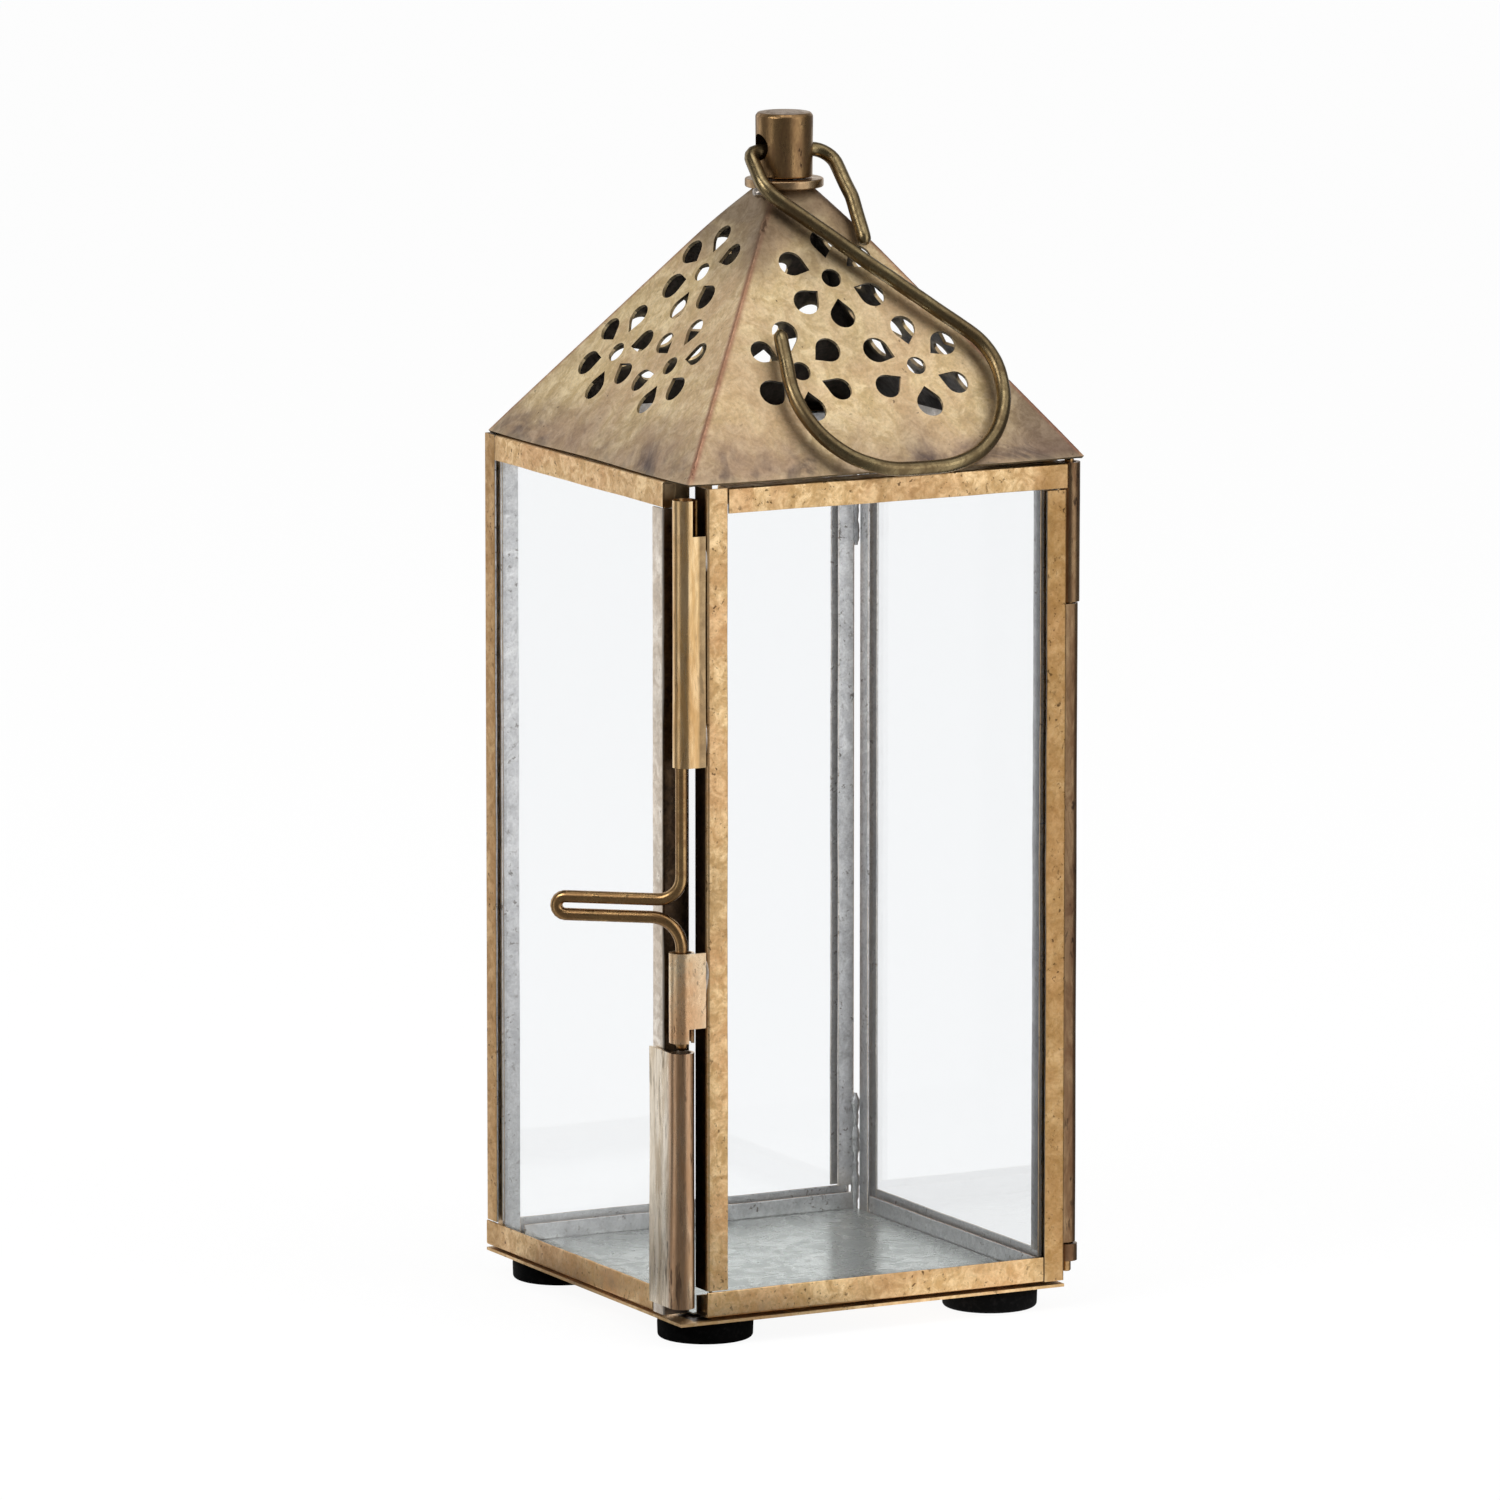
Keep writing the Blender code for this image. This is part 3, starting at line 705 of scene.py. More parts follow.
SOCKET_BRASS = AgedMetal(
    "grey_streaked_brass",
    bright=(1.0, 0.84, 0.60),
    tan=(0.74, 0.50, 0.29),
    blush=(0.44, 0.23, 0.12),
    stain=(0.10, 0.06, 0.05),
    dark=(0.05, 0.033, 0.025),
    rough=(0.20, 0.38),
    blush_share=0.7,
    stain_share=0.8,
    specks=0.9,
    scale=1.2,
    stretch=(1.0, 1.0, 0.13),
    shading=leaf_shading,
)
HINGE_BRASS = AgedMetal(
    "dark_hinge",
    bright=(0.36, 0.24, 0.13),
    tan=(0.20, 0.11, 0.055),
    blush=(0.13, 0.06, 0.035),
    stain=(0.07, 0.04, 0.03),
    dark=(0.03, 0.02, 0.015),
    rough=(0.24, 0.42),
    specks=0.8,
    stretch=(1.0, 1.0, 0.3),
)
ROOF_BRASS = AgedMetal(
    "khaki_brass",
    bright=(0.95, 0.77, 0.47),
    tan=(0.72, 0.55, 0.29),
    blush=(0.66, 0.45, 0.28),
    stain=(0.42, 0.31, 0.20),
    dark=(0.11, 0.07, 0.05),
    rough=(0.40, 0.60),
    scale=0.8,
    specks=0.45,
    blush_share=0.6,
    shading=roof_shading,
)
WIRE_BRASS = AgedMetal(
    "dark_wire",
    bright=(0.32, 0.25, 0.13),
    tan=(0.18, 0.13, 0.065),
    blush=(0.14, 0.09, 0.045),
    stain=(0.12, 0.08, 0.04),
    dark=(0.04, 0.025, 0.012),
    rough=(0.22, 0.40),
    relief=0.05,
)
GOLD_WIRE = AgedMetal(
    "gold_wire",
    bright=(0.56, 0.36, 0.16),
    tan=(0.36, 0.21, 0.09),
    blush=(0.30, 0.16, 0.07),
    stain=(0.14, 0.08, 0.04),
    dark=(0.05, 0.03, 0.015),
    rough=(0.20, 0.36),
    relief=0.05,
)
STUD_BRASS = AgedMetal(
    "stud_brass",
    bright=(0.46, 0.29, 0.13),
    tan=(0.27, 0.16, 0.07),
    blush=(0.20, 0.11, 0.06),
    stain=(0.10, 0.065, 0.045),
    dark=(0.04, 0.025, 0.018),
    rough=(0.22, 0.40),
    stain_share=0.8,
    specks=0.8,
    stretch=(1.0, 1.0, 0.4),
)
WASHER_BRASS = replace(
    STUD_BRASS, name="washer_brass", bright=(0.66, 0.46, 0.26), tan=(0.48, 0.32, 0.17)
)
TINNED = AgedMetal(
    "tinned_floor",
    bright=(0.62, 0.66, 0.62),
    tan=(0.46, 0.50, 0.47),
    blush=(0.53, 0.55, 0.50),
    stain=(0.30, 0.33, 0.32),
    dark=(0.16, 0.17, 0.16),
    rough=(0.16, 0.34),
    blush_share=0.4,
    stain_share=0.5,
    scale=0.6,
    metallic=0.75,
)
SOLDER = AgedMetal(
    "solder",
    bright=(0.62, 0.60, 0.57),
    tan=(0.40, 0.38, 0.36),
    blush=(0.44, 0.33, 0.24),
    stain=(0.22, 0.20, 0.19),
    dark=(0.10, 0.09, 0.08),
    rough=(0.24, 0.46),
    relief=0.2,
)
DULL_SOLDER = AgedMetal(
    "dull_solder",
    bright=(0.50, 0.50, 0.50),
    tan=(0.33, 0.335, 0.345),
    blush=(0.36, 0.36, 0.36),
    stain=(0.20, 0.205, 0.22),
    dark=(0.10, 0.10, 0.11),
    rough=(0.34, 0.55),
    relief=0.2,
)
GLASS = ClearGlass()
RUBBER = BlackRubber()


class Paintbox:
    """The shared node groups, and each finish's material made once."""

    def __init__(self) -> None:
        """Build the groups."""
        self.groups = {"patina": patina_group(), "fold_marks": edge_group()}
        self.made: dict[str, bpy.types.Material] = {}

    def material(self, finish) -> bpy.types.Material:
        """Return a finish's material, made on its first use."""
        if finish.name not in self.made:
            self.made[finish.name] = finish.make(self.groups)
        return self.made[finish.name]

    def dress(self, piece: Object, finish) -> Object:
        """Give a piece one material."""
        piece.data.materials.clear()
        piece.data.materials.append(self.material(finish))
        return piece


def settle(piece: Object, body: Body, replaced: Sequence[str] = ()) -> None:
    """Let a piece ride on a body, in place of some CAD nodes, and log it."""
    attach(piece, body.value)
    if replaced:
        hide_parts(*replaced)
    LOG.info("%s rides on %s: %d faces", piece.name, body.value, len(piece.data.polygons))


# Sub-assemblies


@dataclass
class GlazedPanel:
    """One panel: four folded channels lapped round a pane."""

    side: str
    strips: tuple[str, ...]
    body: Body
    sheet: float = 0.5 * MM
    back_flange: float = 4.0 * MM
    fold: float = 0.55 * MM
    lip: float = 0.2 * MM
    pitch: float = 4 * MM
    waver: float = 0.10 * MM
    deeper: dict = field(
        default_factory=lambda: {"left_front_stile": 1.0 * MM, "door_latch_stile": 0.8 * MM}
    )
    finishes: dict = field(default_factory=lambda: {"left_front_stile": PALE_BRASS})

    def section(self, strip: float, depth: float) -> Array:
        """Return a channel's outline: a U with soft folds, as (inward, inwards deep) points."""
        t, flange = self.sheet, self.back_flange
        corners = [(0, 0), (strip, 0), (strip, t), (t, t)]
        corners += [(t, depth - t), (flange, depth - t), (flange, depth), (0, depth)]
        radii = [self.fold, self.lip, self.lip, 0.1 * MM]
        radii += [0.1 * MM, self.lip, self.lip, self.fold]
        return rounded_outline(np.array(corners), radii)

    def channel(self, node: str, phase: float) -> Object:
        """Fold one channel along its CAD node's box.

        The box's longest axis is the channel's run and the pane's thinnest axis its depth.
        The outline is carried along the run, wavering a little as hand-bent sheet does.

        Args:
            node: The CAD node that it stands for.
            phase: Where its waver starts.

        Returns:
            The channel.
        """
        low, high = node_box(node)
        pane_low, pane_high = node_box(f"{self.side}_glass")
        run = int(np.argmax(high - low))
        deep = int(np.argmin(pane_high - pane_low))
        inward = 3 - run - deep
        middle, pane_middle = (low + high) / 2, (pane_low + pane_high) / 2
        out_sign = math.copysign(1.0, pane_middle[deep])
        in_sign = math.copysign(1.0, pane_middle[inward] - middle[inward])
        depth = high[deep] - low[deep] + self.deeper.get(node, 0.0)
        outline = self.section(high[inward] - low[inward], depth)
        edge = low[inward] if in_sign > 0 else high[inward]
        face = high[deep] if out_sign > 0 else low[deep]
        stations = max(6, round((high[run] - low[run]) / self.pitch))
        along = np.linspace(low[run], high[run], stations)
        ease = np.sin(np.linspace(0, math.pi, stations)) ** 0.5
        rings = np.zeros((stations, len(outline), 3))
        rings[..., run] = along[:, None]
        bow = wobble(along, 70 * MM, self.waver, phase) * ease
        dent = wobble(along, 43 * MM, self.waver * 0.6, phase + 2) * ease
        outer = (outline[:, 0] / outline[:, 0].max())[None]
        rings[..., inward] = edge + in_sign * (outline[None, :, 0] + bow[:, None] * outer)
        rings[..., deep] = face - out_sign * (outline[None, :, 1] + abs(dent)[:, None] * outer)
        return loft(f"{node}_folded", rings)

    def build(self, paints: Paintbox) -> None:
        """Make the four channels and dress them and the pane."""
        for number, strip in enumerate(self.strips):
            node = f"{self.side}_{strip}"
            piece = self.channel(node, 1.7 * number + len(self.side))
            paints.dress(piece, self.finishes.get(node, BRASS))
            settle(piece, self.body, (node,))
        paints.dress(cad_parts[f"{self.side}_glass"], GLASS)


@dataclass
class RolledTube:
    """A tube rolled from one strip, whose tail leaves it as a flat leaf."""

    node: str
    body: Body
    wall: float
    leaf_axis: int
    leaf_sign: int
    leaf_side: int
    notch_low: float = 0.0
    notch_high: float = 0.0
    shift: float = 0.0
    stub: float = 0.4 * MM
    wrap: float = math.radians(318)

    def section(self, outer: float, reach: Array) -> Array:
        """Return the outline at each station, its leaf reaching as far as that station says.

        The outline runs along the leaf's outer face, round the outside of the roll, back
        round its bore, and out along the leaf's inner face.
        """
        bore = outer - self.wall
        turns = math.pi / 2 + self.wrap * np.linspace(0, 1, 49)
        rolled = np.stack([np.cos(turns), np.sin(turns)], 1)
        fixed = np.concatenate([rolled * outer, rolled[::-1] * bore])
        rings = np.zeros((len(reach), len(fixed) + 2, 2))
        rings[:, 1:-1] = fixed[None]
        rings[:, 0] = np.stack([reach, np.full_like(reach, outer)], 1)
        rings[:, -1] = np.stack([reach, np.full_like(reach, bore)], 1)
        return rings

    def build(self, paints: Paintbox, finish: AgedMetal) -> None:
        """Roll the tube along its CAD node's box and dress it."""
        low, high = node_box(self.node)
        cross = 1 - self.leaf_axis
        outer = (high[cross] - low[cross]) / 2
        start = low if self.leaf_sign > 0 else high
        centre = np.zeros(2)
        centre[cross] = (high[cross] + low[cross]) / 2
        centre[self.leaf_axis] = start[self.leaf_axis] + self.leaf_sign * (outer + self.shift)
        full = (high - low)[self.leaf_axis] - outer - self.shift
        height = np.linspace(low[2], high[2], max(12, round((high[2] - low[2]) / (2 * MM))))
        cuts = [low[2] + self.notch_low, high[2] - self.notch_high]
        edges = np.array([c + d for c in cuts for d in (-0.02 * MM, 0.02 * MM)])
        height = np.unique(np.clip(np.concatenate([height, edges]), low[2], high[2]))
        whole = (height > cuts[0]) & (height < cuts[1])
        if not (self.notch_low or self.notch_high):
            whole = np.full_like(height, True, dtype=bool)
        outline = self.section(outer, np.where(whole, full, self.stub))
        rings = np.zeros((*outline.shape[:2], 3))
        swell = 1 - 0.012 * (1 + np.sin(height / (9 * MM) + low[2] * 900))[:, None]
        ahead, aside = self.leaf_sign * outline[..., 0], self.leaf_side * outline[..., 1]
        rings[..., self.leaf_axis] = centre[self.leaf_axis] + ahead * swell
        rings[..., cross] = centre[cross] + aside * swell
        rings[..., 2] = height[:, None]
        piece = loft(f"{self.node}_rolled", rings)
        paints.dress(piece, finish)
        settle(piece, self.body, (self.node,))


@dataclass
class Base:
    """Base plate, floor sheet and four feet."""

    foot_round: float = 0.7 * MM
    plate_round: float = 0.25 * MM

    def slab(self, node: str, radius: float, sag: float) -> Object:
        """Return a thin sheet in its CAD node's box, its rim half round.

        Its rings are squares that step in from the rim, first round the edge and then
        over the face, where the sheet dips by a product of two sines.
        """
        low, high = node_box(node)
        inset = np.concatenate([radius * (1 - np.cos(np.linspace(0, math.pi / 2, 5))), [4 * MM]])
        drop = np.concatenate([radius * (1 - np.sin(np.linspace(0, math.pi / 2, 5))), [0.0]])
        steps = np.linspace(-1, 1, 40)
        x, y = (steps * (high[i] - low[i]) / 2 for i in (0, 1))
        centre = (low + high) / 2
        grid_x, grid_y = np.meshgrid(x, y, indexing="ij")
        edge_gap = np.minimum(x.max() - abs(grid_x), y.max() - abs(grid_y))
        fall = np.interp(edge_gap, inset, drop)
        waves = np.sin(grid_x / (11 * MM)) * np.sin(grid_y / (13 * MM) + 1)
        inner = np.clip(edge_gap / (8 * MM), 0, 1)
        top = high[2] - fall - sag * (1 + waves) / 2 * inner
        bottom = low[2] + fall * 0.5
        count = len(steps)
        index = np.arange(count * count).reshape(count, count)
        quads = grid_quads(count, count)
        rim = np.concatenate([index[:-1, 0], index[-1, :-1], index[:0:-1, -1], index[0, :0:-1]])
        after = np.roll(rim, -1)
        size = count * count
        walls = np.stack([rim, rim + size, after + size, after], -1)
        faces = np.concatenate([quads, quads[:, ::-1] + size, walls])
        layers = [
            np.stack([grid_x + centre[0], grid_y + centre[1], z], -1) for z in (top, bottom)
        ]
        return skin(f"{node}_sheet", np.concatenate(layers).reshape(-1, 3), faces.tolist())

    def foot(self, node: str) -> Object:
        """Return one round foot with a soft rim and a shallow dish underneath."""
        low, high = node_box(node)
        centre = (low + high) / 2
        radius = (high[0] - low[0]) / 2
        soft = self.foot_round
        profile = [
            (ON_AXIS, high[2], 0),
            (radius - 0.3 * MM, high[2], 0.2 * MM),
            (radius, high[2] - 1.2 * MM, 1.0 * MM),
            (radius - 0.1 * MM, low[2], soft),
            (radius - 2.0 * MM, low[2], 0.3 * MM),
            (radius - 2.6 * MM, low[2] + 0.4 * MM, 0.3 * MM),
            (ON_AXIS, low[2] + 0.4 * MM, 0),
        ]
        return turned(f"{node}_disc", centre, profile)

    def build(self, paints: Paintbox) -> None:
        """Make and dress the base."""
        plate = self.slab("base_plate", self.plate_round, 0.0)
        settle(paints.dress(plate, BRASS), Body.LANTERN, ("base_plate",))
        floor = self.slab("floor_sheet", 0.15 * MM, 0.12 * MM)
        settle(paints.dress(floor, TINNED), Body.LANTERN, ("floor_sheet",))
        for end in ("front", "rear"):
            for hand in ("left", "right"):
                node = f"foot_{end}_{hand}"
                disc = self.foot(node)
                settle(paints.dress(disc, RUBBER), Body.LANTERN, (node,))


@dataclass
class PunchedRoof:
    """The square roof: four punched faces folded from thin sheet."""

    apex_rise: float = 61.0 * MM
    tail_gap: float = 2.2 * MM
    sheet: float = 0.7 * MM
    sag: float = 0.9 * MM
    fold: float = 0.6 * MM
    crown_fold: float = 4.2 * MM
    flowers: tuple = (
        ((1.8, 45.6), (-12.2, 24.0), (14.6, 24.0)),
        ((0.0, 45.6), (-12.5, 24.0), (12.5, 24.0)),
        ((0.0, 45.6), (-12.5, 24.0), (12.5, 24.0)),
        ((-2.6, 46.0), (-16.0, 23.8), (8.0, 23.8)),
    )
    eye: float = 2.2 * MM
    petal_round: float = 2.75 * MM
    petal_ring: float = 9.1 * MM
    petal_tip: float = 4.9 * MM
    half: float = field(init=False)
    eave: float = field(init=False)
    top: float = field(init=False)

    def __post_init__(self) -> None:
        """Read the roof's width and heights from the frame."""
        low, high = node_box("roof_shell")
        self.half = (high[0] - low[0]) / 2
        self.eave, self.top = low[2], high[2]

    @property
    def slope_length(self) -> float:
        """Length of a face from its eave to the flat top."""
        rise = self.top - self.eave
        return math.hypot(rise, self.half * rise / self.apex_rise)

    def holes(self, rng: np.random.Generator, quarter: int) -> list[Array]:
        """Return one face's holes: an eye and six drops round it, three times.

        A drop is a circle met by two straight lines from its tip, which points at the eye.
        Each one is a little turned, moved and resized, as hand punching leaves it.
        """
        found = []
        for across, up in self.flowers[quarter]:
            middle = np.array([across, up]) * MM + rng.normal(0, 0.15 * MM, 2)
            turns = np.linspace(0, TURN, 22, endpoint=False)
            girth = self.eye * (1 + rng.normal(0, 0.03))
            found.append(middle + girth * np.stack([np.cos(turns), np.sin(turns)], 1))
            for number in range(6):
                turn = TURN * (number + 0.5) / 6 + rng.normal(0, 0.05)
                size = self.petal_round * (1 + rng.normal(0, 0.05))
                spread = math.acos(size / (self.petal_ring - self.petal_tip))
                bulge = np.linspace(spread - math.pi, math.pi - spread, 18)
                x = np.concatenate([[self.petal_tip], self.petal_ring + size * np.cos(bulge)])
                y = np.concatenate([[0.0], size * np.sin(bulge)])
                cos, sin = math.cos(turn), math.sin(turn)
                drop = np.stack([x * cos - y * sin, x * sin + y * cos], 1)
                found.append(middle + drop + rng.normal(0, 0.12 * MM, 2))
        return found

    def reach(self, up: Array) -> Array:
        """Return a face's half width on the flat pattern, at a way up from the eave."""
        top_half = self.half * (1 - (self.top - self.eave) / self.apex_rise)
        share = np.clip(up / self.slope_length, 0, 1)
        on_slope = self.half + (top_half - self.half) * share
        return on_slope - np.clip(up - self.slope_length, 0, None)

    def fold_up(self, pattern: Array, quarter: int) -> Array:
        """Bend the flat pattern's points into one face of the roof.

        Way up the pattern gives height, with the face hollowed by a sine; way across gives
        place along the eave. Near a ridge a point is carried round an arc of 45 degrees
        whose radius grows towards the top, so that the four faces meet in a soft fold.
        """
        across, up = pattern[:, 0], pattern[:, 1]
        share = np.clip(up / self.slope_length, 0, 1)
        half = self.reach(up)
        middle = np.clip(1 - (across / np.maximum(half, 1e-9)) ** 2, 0, 1)
        hollow = self.sag * np.sin(math.pi * share ** 0.85) * middle
        top_part = np.clip((share - 0.78) / 0.22, 0, 1) ** 2
        radius = self.fold + (self.crown_fold - self.fold) * top_part
        radius = np.minimum(radius, half * 0.85)
        past = np.clip((abs(across) - (half - radius)) / radius, 0, 1)
        turn = past * math.pi / 4
        x = np.where(past > 0, np.sign(across) * (half - radius + radius * np.sin(turn)), across)
        out = np.where(past > 0, half - radius + radius * np.cos(turn), half) - hollow
        z = self.eave + (self.top - self.eave) * share
        z = z - 0.25 * MM * np.clip(1 - share * 12, 0, 1) * (1 - np.cos(across / (9 * MM))) / 2
        cos, sin = round(math.cos(quarter * math.pi / 2)), round(math.sin(quarter * math.pi / 2))
        place_x = ROOF_CENTRE[0] + cos * x + sin * out
        place_y = ROOF_CENTRE[1] + sin * x - cos * out
        return np.stack([place_x, place_y, z], 1)

    def pattern(self, holes: list[Array]) -> tuple[Array, Array]:
        """Cut one face's flat pattern into triangles round its holes.

        The triangles are those of a constrained Delaunay net through the outline, the holes
        and a lattice of inner points; the ones whose middle falls in a hole are dropped.

        Args:
            holes: The holes' outlines.

        Returns:
            The points, and the triangles as rows of three indices.
        """
        top_half = float(self.reach(np.array([self.slope_length]))[0])
        end = self.slope_length + top_half - self.tail_gap
        rows = np.concatenate(
            [np.linspace(0, self.slope_length, 48), np.linspace(self.slope_length, end, 4)[1:]]
        )
        half = self.reach(rows)
        near = np.linspace(0, 1, 7)[1:-1]
        inner = []
        for up, wide in zip(rows, half):
            fold = min(0.85 * wide, self.fold if up < 0.78 * self.slope_length else self.crown_fold)
            count = max(3, round(2 * (wide - fold) / (2.2 * MM)) | 1)
            flat = np.linspace(-(wide - fold), wide - fold, count)
            sides = wide - fold + fold * near
            across = np.concatenate([-sides[::-1], flat, sides])
            inner.append(np.stack([across, np.full_like(across, up)], 1))
        inner = np.concatenate(inner)
        inner = inner[(inner[:, 1] > 1e-6) & (inner[:, 1] < end - 1e-6)]
        for hole in holes:
            gap = np.linalg.norm(inner[:, None] - hole[None], axis=2).min(1)
            inner = inner[(gap > 0.35 * MM) & ~self.inside(inner, hole)]
        eave = np.linspace(-half[0], half[0], 60)
        top_edge = np.linspace(half[-1], -half[-1], 7)
        right = np.stack([half[1:-1], rows[1:-1]], 1)
        outline = np.concatenate(
            [
                np.stack([eave, np.zeros_like(eave)], 1),
                right,
                np.stack([top_edge, np.full_like(top_edge, end)], 1),
                (right * (-1, 1))[::-1],
            ]
        )
        points, edges = [], []
        for loop in (outline, *holes):
            first = sum(len(p) for p in points)
            ids = first + np.arange(len(loop))
            edges += np.stack([ids, np.roll(ids, -1)], 1).tolist()
            points.append(loop)
        points = np.concatenate([*points, inner])
        scaled = [Vector(p) for p in (points / MM).tolist()]
        found = delaunay_2d_cdt(scaled, edges, [], 0, 1e-5)
        net = np.array([p[:] for p in found[0]]) * MM
        faces = np.array([f for f in found[2]])
        middles = net[faces].mean(1)
        keep = self.inside(middles, outline)
        for hole in holes:
            keep &= ~self.inside(middles, hole)
        return net, faces[keep]

    @staticmethod
    def inside(points: Array, loop: Array) -> Array:
        """Tell which points lie in a loop: a ray to the right crosses it an odd number of times."""
        a, b = loop[None], np.roll(loop, -1, 0)[None]
        x, y = points[:, None, 0], points[:, None, 1]
        rising = (a[..., 1] > y) != (b[..., 1] > y)
        run = np.where(b[..., 1] == a[..., 1], 1.0, b[..., 1] - a[..., 1])
        cross = a[..., 0] + (y - a[..., 1]) / run * (b[..., 0] - a[..., 0])
        return (rising & (x < cross)).sum(1) % 2 == 1

    def build(self, paints: Paintbox) -> None:
        """Punch, fold and thicken the four faces, and dress the roof and its tabs."""
        rng = np.random.default_rng(SEED)
        points, faces, start = [], [], 0
        for quarter in range(4):
            net, triangles = self.pattern(self.holes(rng, quarter))
            points.append(self.fold_up(net, quarter))
            faces += (triangles + start).tolist()
            start += len(net)
        roof = skin("roof_punched", np.concatenate(points), faces)
        if roof.data.polygons[0].normal.z < 0:
            roof.data.flip_normals()
        wall = roof.modifiers.new("sheet", "SOLIDIFY")
        wall.thickness = self.sheet
        wall.offset = -1.0
        baked(roof)
        settle(paints.dress(roof, ROOF_BRASS), Body.LANTERN, ("roof_shell",))
        for side in ("left", "back", "right"):
            paints.dress(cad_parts[f"roof_tab_{side}"], SOLDER)


@dataclass
class Finial:
    """Stud with its cross hole, washer and nut."""

    edge: float = 0.35 * MM
    hole: float = 2.8 * MM
    hole_height: float = 237.6 * MM
    tail: float = 2.0 * MM

    def stud(self) -> Object:
        """Turn the stud, its crown domed, and drill the cross hole."""
        low, high = node_box("hanging_stud")
        centre = (low + high) / 2
        radius = (high[0] - low[0]) / 2
        shoulder = node_box("stud_washer")[1][2] + GAP
        profile = [
            (ON_AXIS, high[2], 0),
            (radius * 0.6, high[2], 1.5 * MM),
            (radius - 0.5 * MM, high[2] - 0.12 * MM, 0.5 * MM),
            (radius, high[2] - 0.8 * MM, 0.6 * MM),
            (radius - 0.1 * MM, shoulder, self.edge),
            (self.tail, shoulder, 0),
            (self.tail, low[2], self.edge),
            (ON_AXIS, low[2], 0),
        ]
        post = turned("hanging_stud_turned", centre, profile)
        turns = np.linspace(0, TURN, 40, endpoint=False)
        reach = radius + MM
        ring = np.zeros((2, len(turns), 3))
        ring[..., 0] = centre[0] + np.array([-reach, reach])[:, None]
        ring[..., 1] = centre[1] + self.hole * np.cos(turns)
        ring[..., 2] = self.hole_height + self.hole * np.sin(turns)
        drill = loft("drill", ring)
        bore = post.modifiers.new("bore", "BOOLEAN")
        bore.operation = "DIFFERENCE"
        bore.object = drill
        bpy.context.view_layer.update()
        baked(post)
        bpy.data.objects.remove(drill)
        return post

    def ring(self, node: str, inner: float, steps: int) -> Object:
        """Turn a washer or nut in its CAD node's box."""
        low, high = node_box(node)
        radius = (high[0] - low[0]) / 2
        soft = min(self.edge, (high[2] - low[2]) * 0.3)
        profile = [(inner, high[2], soft / 2), (radius, high[2], soft)]
        profile += [(radius, low[2], soft), (inner, low[2], soft / 2)]
        return turned(f"{node}_turned", (low + high) / 2, profile, steps)

    def build(self, paints: Paintbox) -> None:
        """Make and dress the fittings on top of the roof."""
        post = paints.dress(self.stud(), STUD_BRASS)
        settle(post, Body.LANTERN, ("hanging_stud",))
        washer = self.ring("stud_washer", 2.4 * MM, 64)
        settle(paints.dress(washer, WASHER_BRASS), Body.LANTERN, ("stud_washer",))
        paints.dress(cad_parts["stud_nut"], STUD_BRASS)


@dataclass
class WireHook:
    """The hanging hook, bent from one wire through the stud."""

    radius: float = 1.5 * MM
    waver: float = 0.10 * MM
    slope: float = math.radians(52.0)
    axis_height: float = 236.6 * MM
    corners: tuple = (
        (-16.0, 44.0, 1.9, 0.0),
        (-20.2, 78.3, 1.9, 20.0),
        (30.5, 78.3, 1.9, 21.2),
        (31.0, 51.1, 1.9, 13.0),
        (-8.8, 10.3, 1.9, 7.0),
        (-8.2, 0.0, 0.0, 2.2),
        (10.4, 0.0, 0.0, 4.6),
        (10.9, 13.0, 1.9, 8.0),
        (10.3, 24.6, 1.9, 0.0),
    )

    def build(self, paints: Paintbox) -> None:
        """Bend the wire and dress it."""
        low, high = node_box("hanging_stud")
        centre = np.array([(low[0] + high[0]) / 2, (low[1] + high[1]) / 2, self.axis_height])
        across = np.array([1.0, 0, 0])
        down = np.array([0, -math.cos(self.slope), -math.sin(self.slope)])
        clear = np.cross(down, across)
        path = rounded_path(
            [
                (centre + (across * x + down * s + clear * n) * MM, bend * MM)
                for x, s, n, bend in self.corners
            ]
        )
        wire = bent_wire("hook_wire", spaced(path, 0.9 * MM), self.radius, clear, self.waver)
        settle(paints.dress(wire, WIRE_BRASS), Body.HOOK, ("hook_handle",))


